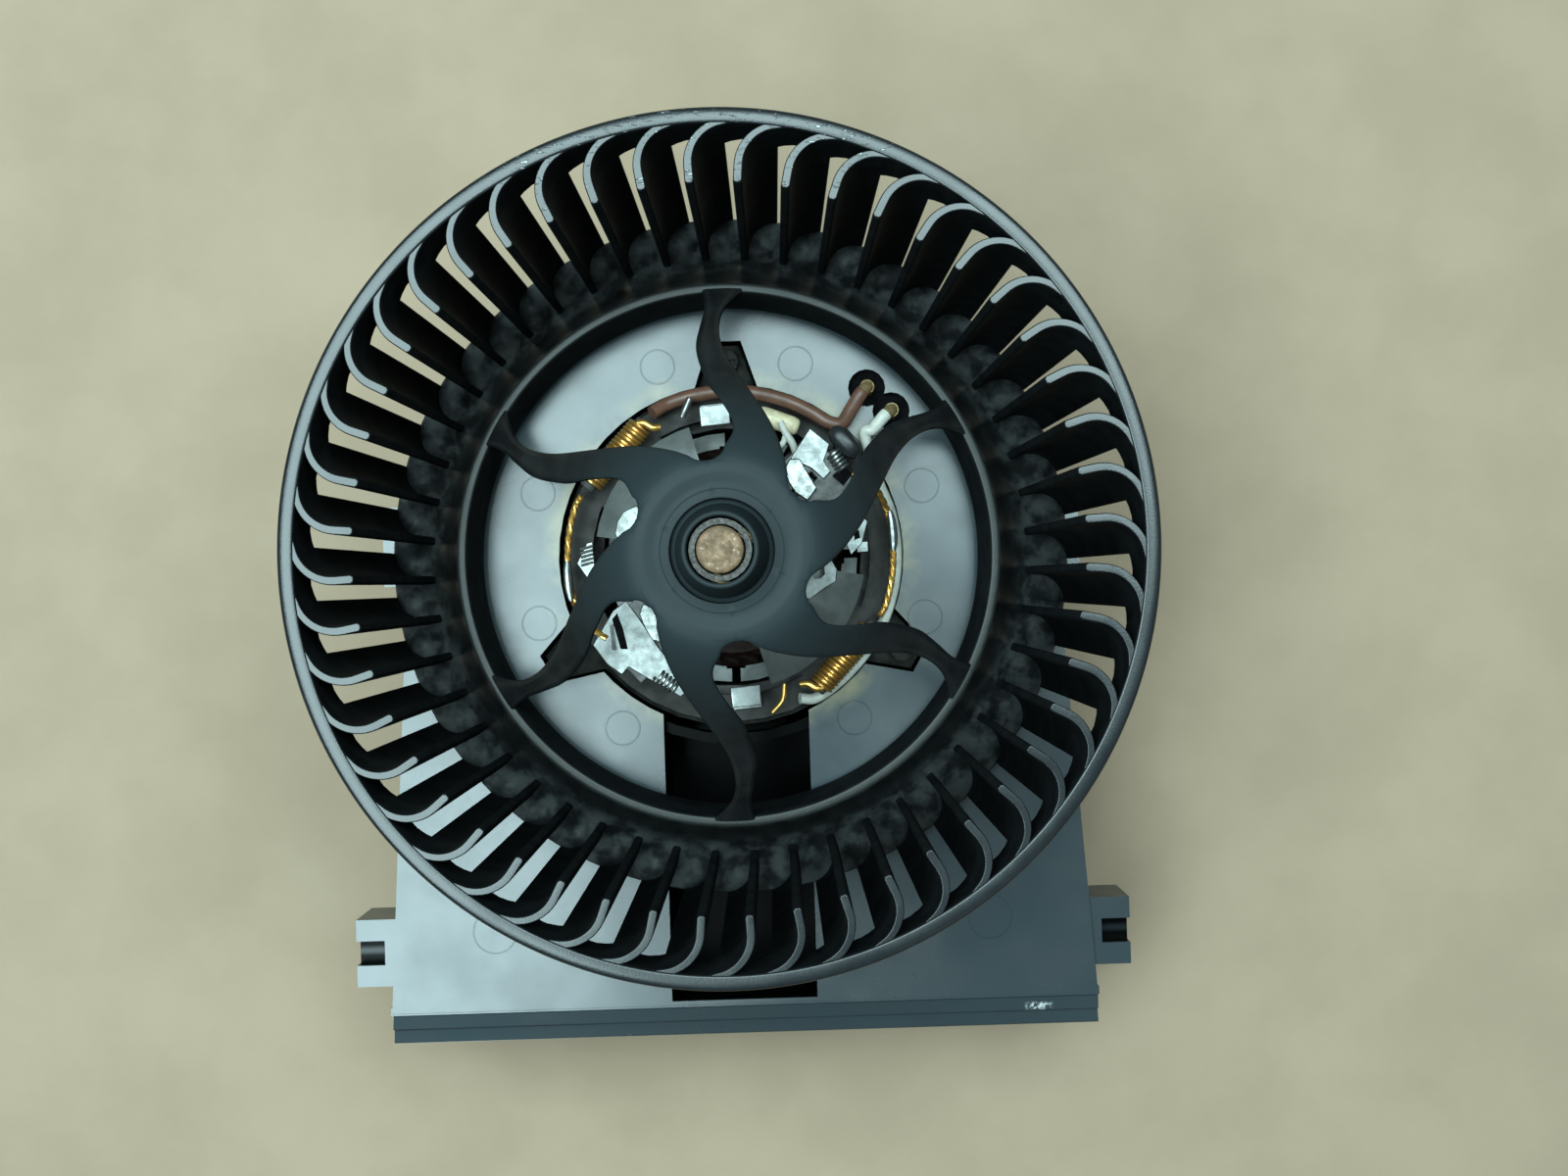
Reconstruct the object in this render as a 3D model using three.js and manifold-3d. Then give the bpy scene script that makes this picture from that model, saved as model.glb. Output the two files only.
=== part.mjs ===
// Heater blower: a one-piece squirrel-cage wheel on a two-pole brush motor, held in a
// tapered slide-in base. Millimetres, +Z up the shaft towards the air inlet, origin on
// the shaft axis at the underside of the rear cover, base front towards -Y.
import * as THREE from 'three';
import { mergeVertices } from 'three/addons/utils/BufferGeometryUtils.js';
import Module from 'manifold-3d';

const wasm = await Module();
wasm.setup();

// ---------------------------------------------------------------- driving dimensions
const GAP = 0.3;
const DECK_Z = 48;
const RIM_Z = 118.6;

// wheel
const BLADE_COUNT = 48;
const BLADE_PHASE = 137.9;
const BLADE_INNER_R = 60.1;
const BLADE_BEND_R = 63.2;
const BLADE_HOOK_R = 6.6;
const BLADE_FOOT_SCALE = 0.963;
const BLADE_ROOT_THICKNESS = 1.6;
const BLADE_TIP_THICKNESS = 1.2;
const BLADE_TOP_Z = RIM_Z - 1.2;
const BLADE_BOTTOM_Z = RIM_Z - 67.7;
const RIM_INNER_R = 69.8;
const RIM_OUTER_R = 72.5;
const BAND_HEIGHT = 11.6;
const DISH_OUTER_R = 67;
const LIP_Z = RIM_Z - 53;
const SPOKE_COUNT = 6;
const HUB_Z = RIM_Z - 13.5;
const HUB_BORE_R = 5.6;
const HUB_TAIL_Z = RIM_Z - 34;

// motor
const SHAFT_R = 4;
const SHAFT_TOP_Z = RIM_Z - 3;
const SHAFT_BOTTOM_Z = 6.6;
const WASHER_R = 7.5;
const RUNNING_BORE_R = 4.15;
const CAN_R = 33.4;
const CAN_WALL = 1.6;
const CAN_BOTTOM_Z = 4.5;
const CAN_TOP_Z = 43;
const MAGNET_OUTER_R = 31.5;
const MAGNET_INNER_R = 26.5;
const MAGNET_BOTTOM_Z = 9;
const MAGNET_TOP_Z = 40;
const MAGNET_HALF_GAP = 28;
const CORE_R = 25.8;
const CORE_BOTTOM_Z = 20;
const CORE_TOP_Z = 36.5;
const SLOT_COUNT = 12;
const COMMUTATOR_R = 9.5;
const COMMUTATOR_BOTTOM_Z = 41.5;
const COMMUTATOR_TOP_Z = 57;
const CARD_Z = 44.8;
const CARD_THICKNESS = 2;
const CARD_R = 33.2;
const BRUSH_ANGLE = 42;
const BRUSH_Z = 51.4;
const BRUSH_WIDTH = 5;
const BRUSH_HEIGHT = 6;
const BRUSH_FRONT_R = 9.8;
const BRUSH_BACK_R = 21.5;
const HOLDER_FRONT_R = 11;
const HOLDER_BACK_R = 28;
const HOLDER_WALL = 1;
const CHOKE_ANGLE = 137;
const CHOKE_R = 30.4;
const CHOKE_Z = 52.4;
const CHOKE_LENGTH = 16;
const BRIDGE_ANGLE = 138;
const BRIDGE_HALF_ANGLE = 32;
const BRIDGE_WALL = 1.2;
const BRIDGE_SHOULDER_R = 14;
const BRIDGE_WING_R = 26.6;
const BRIDGE_DROP = 5.6;
const BEARING_CUP_Z = 60;
const BEARING_R = 8.6;
const CLAMP_ANGLE = 160;
const CLAMP_LOBE_R = 18.2;
const CLAMP_THICKNESS = 0.8;
const CLIP_ANGLE = 94.6;
const CLIP_HALF_WIDTH = 2.9;
const CLIP_HEIGHT = 6.4;
const CLIP_GAUGE = 0.8;
const CARD_TOP_Z = CARD_Z + CARD_THICKNESS;
const FOOT_Z = CARD_TOP_Z + GAP;
const HOLDER_HALF_WIDTH = BRUSH_WIDTH / 2 + GAP;
const HOLDER_TOP_Z = BRUSH_Z + BRUSH_HEIGHT / 2 + GAP;
const HOLDER_FLOOR_Z = BRUSH_Z - BRUSH_HEIGHT / 2 - GAP;

// base
const SIDE_TAPER = Math.tan(THREE.MathUtils.degToRad(3.65));
const HALF_WIDTH_AT_AXIS = 65.2;
const FRONT_Y = -96.5;
const LIP_STEP_Y = [-90.2, -93.4];
const LIP_STEP_Z = [46.2, 44.6];
const DECK_THICKNESS = 2.4;
const SKIRT_WALL = 2.2;
const SKIRT_BOTTOM_Z = 34;
const APERTURE_R = 34.6;
const CUP_INNER_R = 36;
const CUP_OUTER_R = 38;
const COVER_THICKNESS = 3;
const CHANNEL_HALF_WIDTH = 14.6;
const CHANNEL_FLOOR_Z = 18;
const CHANNEL_FRONT_Y = -89;
const MOUNT_ANGLES = [90, 210, 330];
const MOUNT_SCREW_R = 39.2;
const MOUNT_NEAR_R = 33;
const MOUNT_NEAR_HALF_WIDTH = 6.6;
const MOUNT_FAR_R = 43.2;
const MOUNT_FAR_HALF_WIDTH = 3.2;
const MOUNT_SEAT_Z = 38;
const MOUNT_PLATE_Z = 43.3;
const MOUNT_PLATE_THICKNESS = 1.2;
const COVER_SCREW_ANGLES = [110, 230, 350];
const COVER_SCREW_R = 41.4;
const WIRE_HOLE_R = 43.4;
const WIRE_HOLE_RADIUS = 3.75;
const BROWN_HOLE_ANGLE = 49.4;
const WHITE_HOLE_ANGLE = 40.5;
const CONNECTOR_ANGLE = (BROWN_HOLE_ANGLE + WHITE_HOLE_ANGLE) / 2;
const CONNECTOR_BOTTOM_Z = 22;

// ---------------------------------------------------------------- materials
function finish(color, roughness, metalness) {
  return new THREE.MeshStandardMaterial({ color, roughness, metalness });
}
const BLACK_PLASTIC = finish(0x1b1d1f, 0.45, 0);
const GREY_PLASTIC = finish(0x3a3d42, 0.35, 0);
const CARD_PLASTIC = finish(0x4a4b4d, 0.6, 0);
const BRIGHT_STEEL = finish(0xc9ccca, 0.3, 1);
const GREY_STEEL = finish(0x707274, 0.45, 0.8);
const RUSTY_STEEL = finish(0x7a5a40, 0.8, 0.4);
const COPPER = finish(0xb8692c, 0.35, 1);
const BRASS = finish(0xc9a256, 0.35, 1);
const BRONZE = finish(0x8c6a3f, 0.5, 0.9);
const FERRITE = finish(0x2c2b2b, 0.8, 0);
const CARBON = finish(0x232323, 0.7, 0);
const RUBBER = finish(0x18181a, 0.85, 0);
const BROWN_INSULATION = finish(0x7b4a30, 0.5, 0);
const WHITE_INSULATION = finish(0xcfc9bb, 0.5, 0);
const FIBRE = finish(0x8a6b45, 0.8, 0);
const CERAMIC = finish(0xcfc29a, 0.6, 0);

// ---------------------------------------------------------------- helpers
const blower = new THREE.Group();

function radians(degrees) {
  return THREE.MathUtils.degToRad(degrees);
}

function polar(radius, degrees) {
  return [radius * Math.cos(radians(degrees)), radius * Math.sin(radians(degrees))];
}

// A closed geometry becomes a solid: shared vertices merged, needle faces dropped, and
// the faces turned outwards if the enclosed volume comes out negative.
function solid(geometry) {
  const bare = geometry.clone();
  bare.deleteAttribute('normal');
  bare.deleteAttribute('uv');
  const merged = mergeVertices(bare, 1e-5);
  const xyz = merged.attributes.position.array;
  const faces = [];
  let volume = 0;
  for (let i = 0; i < merged.index.count; i += 3) {
    const [a, b, c] = [0, 1, 2].map((k) => merged.index.getX(i + k));
    if (a !== b && b !== c && a !== c) {
      faces.push(a, b, c);
      const [p, q, r] = [a, b, c].map((v) => new THREE.Vector3().fromArray(xyz, v * 3));
      volume += p.dot(q.cross(r));
    }
  }
  const triVerts = Uint32Array.from(volume < 0 ? faces.reverse() : faces);
  const vertProperties = Float32Array.from(xyz);
  return new wasm.Manifold(new wasm.Mesh({ numProp: 3, vertProperties, triVerts }));
}

function add(name, shape, material) {
  const { vertProperties, triVerts } = shape.getMesh();
  const geometry = new THREE.BufferGeometry();
  geometry.setAttribute('position', new THREE.BufferAttribute(vertProperties, 3));
  geometry.setIndex(new THREE.BufferAttribute(triVerts, 1));
  geometry.computeVertexNormals();
  const mesh = new THREE.Mesh(geometry, material);
  mesh.name = name;
  blower.add(mesh);
}

function union(shapes) {
  return shapes.reduce((whole, shape) => whole.add(shape));
}

// A solid of revolution about Z from a closed outline of [radius, z] pairs.
function turned(outline, segments = 24) {
  const points = [...outline, outline[0]].map(([r, z]) => new THREE.Vector2(r, z));
  return solid(new THREE.LatheGeometry(points, segments).rotateX(Math.PI / 2));
}

// A ring or, with an inner radius of 0, a disc.
function ring(inner, outer, bottom, top, segments = 24) {
  return turned([[inner, bottom], [outer, bottom], [outer, top], [inner, top]], segments);
}

// A flat outline of [x, y] pairs raised from one height to another.
function raised(outline, bottom, top) {
  const shape = new THREE.Shape(outline.map(([x, y]) => new THREE.Vector2(x, y)));
  const geometry = new THREE.ExtrudeGeometry(shape, { depth: top - bottom, bevelEnabled: false });
  return solid(geometry.translate(0, 0, bottom));
}

// A box between two corners, turned about Z so that its +X runs out along an angle.
function box(low, high, degrees = 0) {
  const size = high.map((value, axis) => value - low[axis]);
  const geometry = new THREE.BoxGeometry(...size);
  geometry.translate(...low.map((value, axis) => value + size[axis] / 2));
  return solid(geometry.rotateZ(radians(degrees)));
}

// A cylinder standing at a radius and angle.
function post(radius, bottom, top, centreRadius, degrees, segments = 16) {
  const [x, y] = polar(centreRadius, degrees);
  return ring(0, radius, bottom, top, segments).translate([x, y, 0]);
}

// A round bar or wire along a smooth curve through points.
function wire(points, radius, sides = 8, steps = 40) {
  const section = new THREE.Shape();
  for (let side = 0; side < sides; side += 1) {
    const [x, y] = polar(radius, side * 360 / sides);
    if (side === 0) section.moveTo(x, y);
    else section.lineTo(x, y);
  }
  const stations = points.map((point) => new THREE.Vector3(...point));
  const extrudePath = new THREE.CatmullRomCurve3(stations, false, 'centripetal');
  return solid(new THREE.ExtrudeGeometry(section, { steps, extrudePath, bevelEnabled: false }));
}

// Points of an arc of constant radius and height about the shaft.
function arcPoints(radius, z, from, to, count) {
  const points = [];
  for (let i = 0; i <= count; i += 1) {
    points.push([...polar(radius, from + (to - from) * i / count), z]);
  }
  return points;
}

function flatArc(radius, from, to, count) {
  return arcPoints(radius, 0, from, to, count).map(([x, y]) => [x, y]);
}

// ---------------------------------------------------------------- wheel
// The blade's centre line is radial up to the bend and then a quarter circle, turned
// clockwise, that ends along the rim.
function bladeOutline() {
  const line = [[BLADE_INNER_R, 0, 0]];
  [0, 30, 57, 84].forEach((turn) => {
    const angle = radians(turn);
    const across = BLADE_HOOK_R * (Math.cos(angle) - 1);
    line.push([BLADE_BEND_R + BLADE_HOOK_R * Math.sin(angle), across, angle]);
  });
  const left = [];
  const right = [];
  line.forEach(([radius, across, angle]) => {
    const along = (radius - BLADE_INNER_R) / (RIM_INNER_R - BLADE_INNER_R);
    const half = THREE.MathUtils.lerp(BLADE_ROOT_THICKNESS, BLADE_TIP_THICKNESS, along) / 2;
    const side = [half * Math.sin(angle), half * Math.cos(angle)];
    left.unshift([radius + side[0], across + side[1]]);
    right.push([radius - side[0], across - side[1]]);
  });
  return [...right, ...left];
}

// A blade leans inward towards its foot, so its outline is smaller there.
function blade() {
  const height = BLADE_TOP_Z - BLADE_BOTTOM_Z;
  const foot = bladeOutline().map(([x, y]) => [x * BLADE_FOOT_SCALE, y * BLADE_FOOT_SCALE]);
  const grow = 1 / BLADE_FOOT_SCALE;
  const leaning = new wasm.CrossSection([foot]).extrude(height, 0, 0, [grow, grow]);
  return leaning.translate([0, 0, BLADE_BOTTOM_Z]);
}

// Each row is a radius and the two edge angles of one S-shaped spoke at that radius.
const SPOKE_ROWS = [
  [13, 97.5, 157.5], [15.65, 97.5, 157.5], [17.3, 108.2, 148.7], [21.3, 120.6, 143.3],
  [26.8, 134.5, 149.4], [30.5, 141.3, 154.1], [34.6, 146.7, 156.1], [38.4, 149.4, 156.6],
  [42.5, 150.3, 155.2], [46.8, 149, 153.7], [50.9, 144.9, 154.1], [52.4, 143, 156],
];

function spokeOutline() {
  const low = SPOKE_ROWS.map(([radius, angle]) => polar(radius, angle));
  const high = SPOKE_ROWS.map(([radius, , angle]) => polar(radius, angle));
  return [...low, ...high.reverse()];
}

function fanWheel() {
  const rim = turned([
    [RIM_INNER_R, RIM_Z - BAND_HEIGHT], [71.3, RIM_Z - BAND_HEIGHT], [71.3, RIM_Z - 5],
    [RIM_OUTER_R, RIM_Z - 4.2], [RIM_OUTER_R, RIM_Z - 1], [70.9, RIM_Z], [RIM_INNER_R, RIM_Z - 0.4],
  ], BLADE_COUNT);
  const dish = turned([
    [DISH_OUTER_R, RIM_Z - 68.5], [DISH_OUTER_R, RIM_Z - 66.9], [57.3, RIM_Z - 62.4],
    [51.8, LIP_Z], [50.2, LIP_Z], [49, RIM_Z - 67], [50.6, RIM_Z - 67], [51.4, RIM_Z - 57.5],
    [56.5, RIM_Z - 65.4],
  ], BLADE_COUNT);
  const firstBlade = blade();
  const blades = [];
  for (let i = 0; i < BLADE_COUNT; i += 1) {
    blades.push(firstBlade.rotate([0, 0, BLADE_PHASE + i * 360 / BLADE_COUNT]));
  }
  const cone = turned([
    [12, HUB_Z], [15.65, HUB_Z - 0.2], [18.5, HUB_Z - 2], [51.2, LIP_Z - 0.2],
    [50.8, LIP_Z - 4], [17.5, HUB_Z - 5.4], [14.5, HUB_Z - 3.2], [12, HUB_Z - 3],
  ], 36);
  const spoke = raised(spokeOutline(), LIP_Z - 5, HUB_Z + 1);
  const spokes = [];
  for (let i = 0; i < SPOKE_COUNT; i += 1) {
    spokes.push(spoke.rotate([0, 0, i * 360 / SPOKE_COUNT]));
  }
  const hub = turned([
    [HUB_BORE_R, RIM_Z - 3.6], [6.4, RIM_Z - 3.4], [7.9, RIM_Z - 11.5], [8, HUB_Z - 1.2],
    [9, HUB_Z - 1.2], [9.2, HUB_Z + 0.4], [12.6, HUB_Z], [12.6, HUB_Z - 3], [8.6, HUB_Z - 3.4],
    [8.2, HUB_TAIL_Z], [HUB_BORE_R, HUB_TAIL_Z],
  ]);
  const webs = union(spokes).intersect(cone);
  add('fan_wheel', union([rim, dish, ...blades]).add(webs).add(hub), BLACK_PLASTIC);
}

function rotorHardware() {
  add('hub_bush', ring(SHAFT_R + GAP, HUB_BORE_R - GAP, HUB_TAIL_Z, RIM_Z - 5), BRASS);
  add('hub_clamp_ring', ring(8.9, 10.1, HUB_TAIL_Z + 2, HUB_TAIL_Z + 7), BRIGHT_STEEL);
  add('motor_shaft', turned([
    [0, SHAFT_BOTTOM_Z], [SHAFT_R - 0.6, SHAFT_BOTTOM_Z], [SHAFT_R, SHAFT_BOTTOM_Z + 0.6],
    [SHAFT_R, SHAFT_TOP_Z - 0.7], [SHAFT_R - 0.7, SHAFT_TOP_Z], [0, SHAFT_TOP_Z],
  ]), RUSTY_STEEL);
  const washerZ = COMMUTATOR_TOP_Z + 1;
  add('thrust_washer_lower', ring(SHAFT_R + GAP, WASHER_R, 14.1, 14.8), FIBRE);
  add('thrust_washer_upper', ring(SHAFT_R + GAP, WASHER_R, washerZ, washerZ + 1), FIBRE);
}

// ---------------------------------------------------------------- armature
const SLOT_ROOT_R = 12;
const SLOT_HALF_WIDTH = 2;
const TOOTH_TIP_R = 23;
const SLOT_MOUTH_HALF_WIDTH = 0.9;
const HOOK_R = 11.5;

function armature() {
  const slots = [];
  const bars = [];
  for (let i = 0; i < SLOT_COUNT; i += 1) {
    const angle = i * 360 / SLOT_COUNT;
    const mouth = SLOT_MOUTH_HALF_WIDTH;
    slots.push(box([SLOT_ROOT_R, -SLOT_HALF_WIDTH, 0], [TOOTH_TIP_R, SLOT_HALF_WIDTH, RIM_Z], angle));
    slots.push(box([TOOTH_TIP_R - 1, -mouth, 0], [CORE_R + 1, mouth, RIM_Z], angle));
    bars.push(box(
      [SLOT_ROOT_R + GAP, GAP - SLOT_HALF_WIDTH, CORE_BOTTOM_Z - 1],
      [TOOTH_TIP_R - GAP, SLOT_HALF_WIDTH - GAP, CORE_TOP_Z + 1],
      angle,
    ));
  }
  const stack = ring(SHAFT_R + GAP, CORE_R, CORE_BOTTOM_Z, CORE_TOP_Z, 36);
  add('armature_core', stack.subtract(union(slots)), GREY_STEEL);
  const lower = turned([
    [9, 15.4], [20, 15.4], [TOOTH_TIP_R, CORE_BOTTOM_Z - GAP], [8, CORE_BOTTOM_Z - GAP],
  ]);
  const upper = turned([
    [8, CORE_TOP_Z + GAP], [TOOTH_TIP_R, CORE_TOP_Z + GAP], [20, 40.8], [10, 40.8],
  ]);
  add('armature_winding', union([lower, ...bars, upper]), COPPER);

  const hookZ = COMMUTATOR_BOTTOM_Z + 1.8;
  add('commutator', turned([
    [SHAFT_R + GAP, COMMUTATOR_BOTTOM_Z], [HOOK_R, COMMUTATOR_BOTTOM_Z], [HOOK_R, hookZ],
    [COMMUTATOR_R, hookZ], [COMMUTATOR_R, COMMUTATOR_TOP_Z], [SHAFT_R + GAP, COMMUTATOR_TOP_Z],
  ]), COPPER);
}

// ---------------------------------------------------------------- motor stator
function motorShell() {
  const inner = CAN_R - CAN_WALL;
  const floorZ = CAN_BOTTOM_Z + CAN_WALL;
  const cupTopZ = 12.4;
  add('motor_can', turned([
    [0, CAN_BOTTOM_Z], [CAN_R - 2, CAN_BOTTOM_Z], [CAN_R, CAN_BOTTOM_Z + 2], [CAN_R, CAN_TOP_Z],
    [inner, CAN_TOP_Z], [inner, CAN_BOTTOM_Z + 2.4], [inner - 1.2, floorZ],
    [BEARING_R + 1.8, floorZ], [BEARING_R + 1.8, cupTopZ], [BEARING_R + GAP, cupTopZ],
    [BEARING_R + GAP, floorZ], [0, floorZ],
  ], 36), GREY_STEEL);
  add('rear_bearing', ring(RUNNING_BORE_R, BEARING_R, floorZ + 0.5, cupTopZ - 0.2), BRONZE);
  add('bearing_retainer', ring(5.2, 10.2, cupTopZ + GAP, cupTopZ + 1), BRIGHT_STEEL);

  [0, 180].forEach((turn, index) => {
    const from = turn + BRUSH_ANGLE + MAGNET_HALF_GAP;
    const to = turn + BRUSH_ANGLE + 180 - MAGNET_HALF_GAP;
    const outline = [
      ...flatArc(MAGNET_OUTER_R, from, to, 10), ...flatArc(MAGNET_INNER_R, to, from, 10),
    ];
    add(`magnet_${index + 1}`, raised(outline, MAGNET_BOTTOM_Z, MAGNET_TOP_Z), FERRITE);
    const clip = box(
      [MAGNET_OUTER_R - 1.2, -5, MAGNET_BOTTOM_Z + 3], [MAGNET_OUTER_R - 0.2, 5, MAGNET_TOP_Z - 3],
      turn + BRUSH_ANGLE,
    );
    add(`magnet_spring_${index + 1}`, clip, BRIGHT_STEEL);
  });
}

// The mounting arms narrow outwards; an inset leaves room inside the pocket that holds them.
function mountOutline(nearR, inset) {
  const slope = (MOUNT_NEAR_HALF_WIDTH - MOUNT_FAR_HALF_WIDTH) / (MOUNT_FAR_R - MOUNT_NEAR_R);
  const far = MOUNT_FAR_HALF_WIDTH - inset;
  const near = far + slope * (MOUNT_FAR_R - nearR);
  const farR = MOUNT_FAR_R - inset;
  return [[nearR, -near], [farR, -far], [farR, far], [nearR, near]];
}

function motorMounting() {
  const plateTopZ = MOUNT_PLATE_Z + MOUNT_PLATE_THICKNESS;
  const drillAt = (angle) => post(1.9, 30, 50, MOUNT_SCREW_R, angle, 12);
  const arm = raised(mountOutline(MOUNT_NEAR_R, 0.5), MOUNT_PLATE_Z, plateTopZ);
  const arms = MOUNT_ANGLES.map((angle) => arm.rotate([0, 0, angle]));
  const plate = union([ring(30, 34.2, MOUNT_PLATE_Z, plateTopZ, 36), ...arms]);
  add('motor_mount_ring', plate.subtract(union(MOUNT_ANGLES.map(drillAt))), GREY_STEEL);
  const pad = raised(mountOutline(CUP_INNER_R + GAP, 0.35), MOUNT_SEAT_Z + GAP, MOUNT_PLATE_Z - GAP);
  MOUNT_ANGLES.forEach((angle, index) => {
    add(`damper_${index + 1}`, pad.rotate([0, 0, angle]).subtract(drillAt(angle)), RUBBER);
    const shank = post(1.4, MOUNT_SEAT_Z - 4, plateTopZ + 0.5, MOUNT_SCREW_R, angle, 12);
    const head = post(2.6, plateTopZ + GAP, plateTopZ + 2.3, MOUNT_SCREW_R, angle, 12);
    const drive = box([-2, -0.4, plateTopZ + 1.5], [2, 0.4, DECK_Z]);
    const cut = drive.translate([...polar(MOUNT_SCREW_R, angle), 0]);
    add(`mount_screw_${index + 1}`, shank.add(head).subtract(cut), BRIGHT_STEEL);
  });
}

// The card is an outer ring and a centre ring joined by arms, open between them, with
// a low cradle under each choke.
function brushCard() {
  const turns = [0, 180];
  const bars = turns.map((turn) => box([14, -7, CARD_Z], [31, 7, CARD_TOP_Z], BRUSH_ANGLE + turn));
  const links = turns.map((turn) => box([14, -9, CARD_Z], [31, 9, CARD_TOP_Z], BRIDGE_ANGLE + turn));
  const cradle = box([CHOKE_R - 2, -5, CARD_Z + 1], [CHOKE_R + 0.2, 5, CHOKE_Z - 3], CHOKE_ANGLE);
  const cradles = turns.map((turn) => cradle.rotate([0, 0, turn]));
  const rings = [ring(28, CARD_R, CARD_Z, CARD_TOP_Z, 36), ring(12.5, 17, CARD_Z, CARD_TOP_Z)];
  add('brush_card', union([...rings, ...bars, ...links, ...cradles]), CARD_PLASTIC);
}

// The brush slides in a folded steel box, slit along its top, with a flange each side.
function brushGear(index, turn, flangeBackR) {
  const angle = BRUSH_ANGLE + turn;
  const shell = box(
    [HOLDER_FRONT_R, -HOLDER_HALF_WIDTH - HOLDER_WALL, HOLDER_FLOOR_Z - HOLDER_WALL],
    [HOLDER_BACK_R, HOLDER_HALF_WIDTH + HOLDER_WALL, HOLDER_TOP_Z + HOLDER_WALL],
    angle,
  );
  const hollow = box(
    [0, -HOLDER_HALF_WIDTH, HOLDER_FLOOR_Z],
    [HOLDER_BACK_R - HOLDER_WALL, HOLDER_HALF_WIDTH, HOLDER_TOP_Z],
    angle,
  );
  const slit = box([16, -0.9, BRUSH_Z], [23, 0.9, RIM_Z], angle);
  const flange = box([15.5, -6.8, HOLDER_TOP_Z], [flangeBackR, 6, HOLDER_TOP_Z + HOLDER_WALL], angle);
  const folded = union([shell, flange]).subtract(hollow).subtract(slit);
  add(`brush_holder_${index}`, folded, BRIGHT_STEEL);

  const block = box(
    [BRUSH_FRONT_R, -BRUSH_WIDTH / 2, BRUSH_Z - BRUSH_HEIGHT / 2],
    [BRUSH_BACK_R, BRUSH_WIDTH / 2, BRUSH_Z + BRUSH_HEIGHT / 2],
    angle,
  );
  add(`brush_${index}`, block, CARBON);

  const springLength = HOLDER_BACK_R - HOLDER_WALL - BRUSH_BACK_R - 2 * GAP;
  const coil = ring(0, 2.2, 0, springLength, 12).rotate([0, 90, 0]);
  const placed = coil.translate([BRUSH_BACK_R + GAP, 0, BRUSH_Z]).rotate([0, 0, angle]);
  add(`brush_spring_${index}`, placed, BRIGHT_STEEL);
}

// A choke lies across its angle. The pigtail runs from beyond the choke round the edge
// of the card and rises on to the brush box.
function chokeAndPigtail(index, turn) {
  const centre = CHOKE_ANGLE + turn;
  const lay = (shape) => (
    shape.rotate([90, 0, 0]).translate([CHOKE_R, 0, CHOKE_Z]).rotate([0, 0, centre])
  );
  const half = CHOKE_LENGTH / 2;
  add(`choke_core_${index}`, lay(ring(0, 1.5, -half - 0.8, half + 0.8, 12)), FERRITE);
  add(`choke_coil_${index}`, lay(ring(1.8, 2.6, -half, half, 16)), COPPER);

  const endZ = HOLDER_TOP_Z + HOLDER_WALL + 1.2;
  const route = [
    [...polar(31.9, centre + 19.5), CHOKE_Z],
    ...arcPoints(32.3, CHOKE_Z, centre + 24, centre + 58, 4),
    [...polar(31.4, centre + 66), endZ],
    [...polar(28.6, centre + 76), endZ],
    [...polar(24.6, centre + 81), endZ],
  ];
  add(`pigtail_${index}`, wire(route, 0.7, 8, 16), COPPER);
}

// The front bearing sits in a cup on a pressed bridge: two broad wings that slope out
// from the cup and turn down on to the card.
function bearingBridge() {
  const innerWingR = BRIDGE_WING_R - BRIDGE_WALL;
  const cupWallR = BEARING_R + GAP;
  const shell = turned([
    [9.6, BEARING_CUP_Z], [BRIDGE_SHOULDER_R, BEARING_CUP_Z],
    [innerWingR, BEARING_CUP_Z - BRIDGE_DROP], [innerWingR, FOOT_Z], [BRIDGE_WING_R, FOOT_Z],
    [BRIDGE_WING_R, BEARING_CUP_Z - BRIDGE_DROP + 0.8],
    [BRIDGE_SHOULDER_R + 0.4, BEARING_CUP_Z + BRIDGE_WALL], [9.6, BEARING_CUP_Z + BRIDGE_WALL],
  ], 48);
  const sector = [[0, 0], ...flatArc(40, -BRIDGE_HALF_ANGLE, BRIDGE_HALF_ANGLE, 4)];
  const wedge = raised(sector, FOOT_Z - 1, RIM_Z);
  const wings = [0, 180].map((turn) => shell.intersect(wedge.rotate([0, 0, BRIDGE_ANGLE + turn])));
  const cup = turned([
    [5.2, BEARING_CUP_Z], [10.3, BEARING_CUP_Z], [10.3, BEARING_CUP_Z + 9],
    [cupWallR, BEARING_CUP_Z + 9], [cupWallR, BEARING_CUP_Z + BRIDGE_WALL],
    [5.2, BEARING_CUP_Z + BRIDGE_WALL],
  ]);
  const bottomRing = ring(9.6, BRIDGE_SHOULDER_R + 0.4, BEARING_CUP_Z, BEARING_CUP_Z + BRIDGE_WALL);
  add('bearing_bridge', union([...wings, bottomRing, cup]), GREY_STEEL);
  const bearingZ = BEARING_CUP_Z + BRIDGE_WALL + GAP;
  add('front_bearing', ring(RUNNING_BORE_R, BEARING_R, bearingZ, BEARING_CUP_Z + 8), BRONZE);

  const clampTopZ = bearingZ + CLAMP_THICKNESS;
  const strap = box([11, -3.4, bearingZ], [CLAMP_LOBE_R, 3.4, clampTopZ], CLAMP_ANGLE);
  const lobe = strap.add(post(3.4, bearingZ, clampTopZ, CLAMP_LOBE_R, CLAMP_ANGLE));
  const collar = ring(10.7, 13.6, bearingZ, clampTopZ);
  add('bearing_clamp', union([collar, lobe, lobe.rotate([0, 0, 180])]), BRIGHT_STEEL);
}

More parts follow.
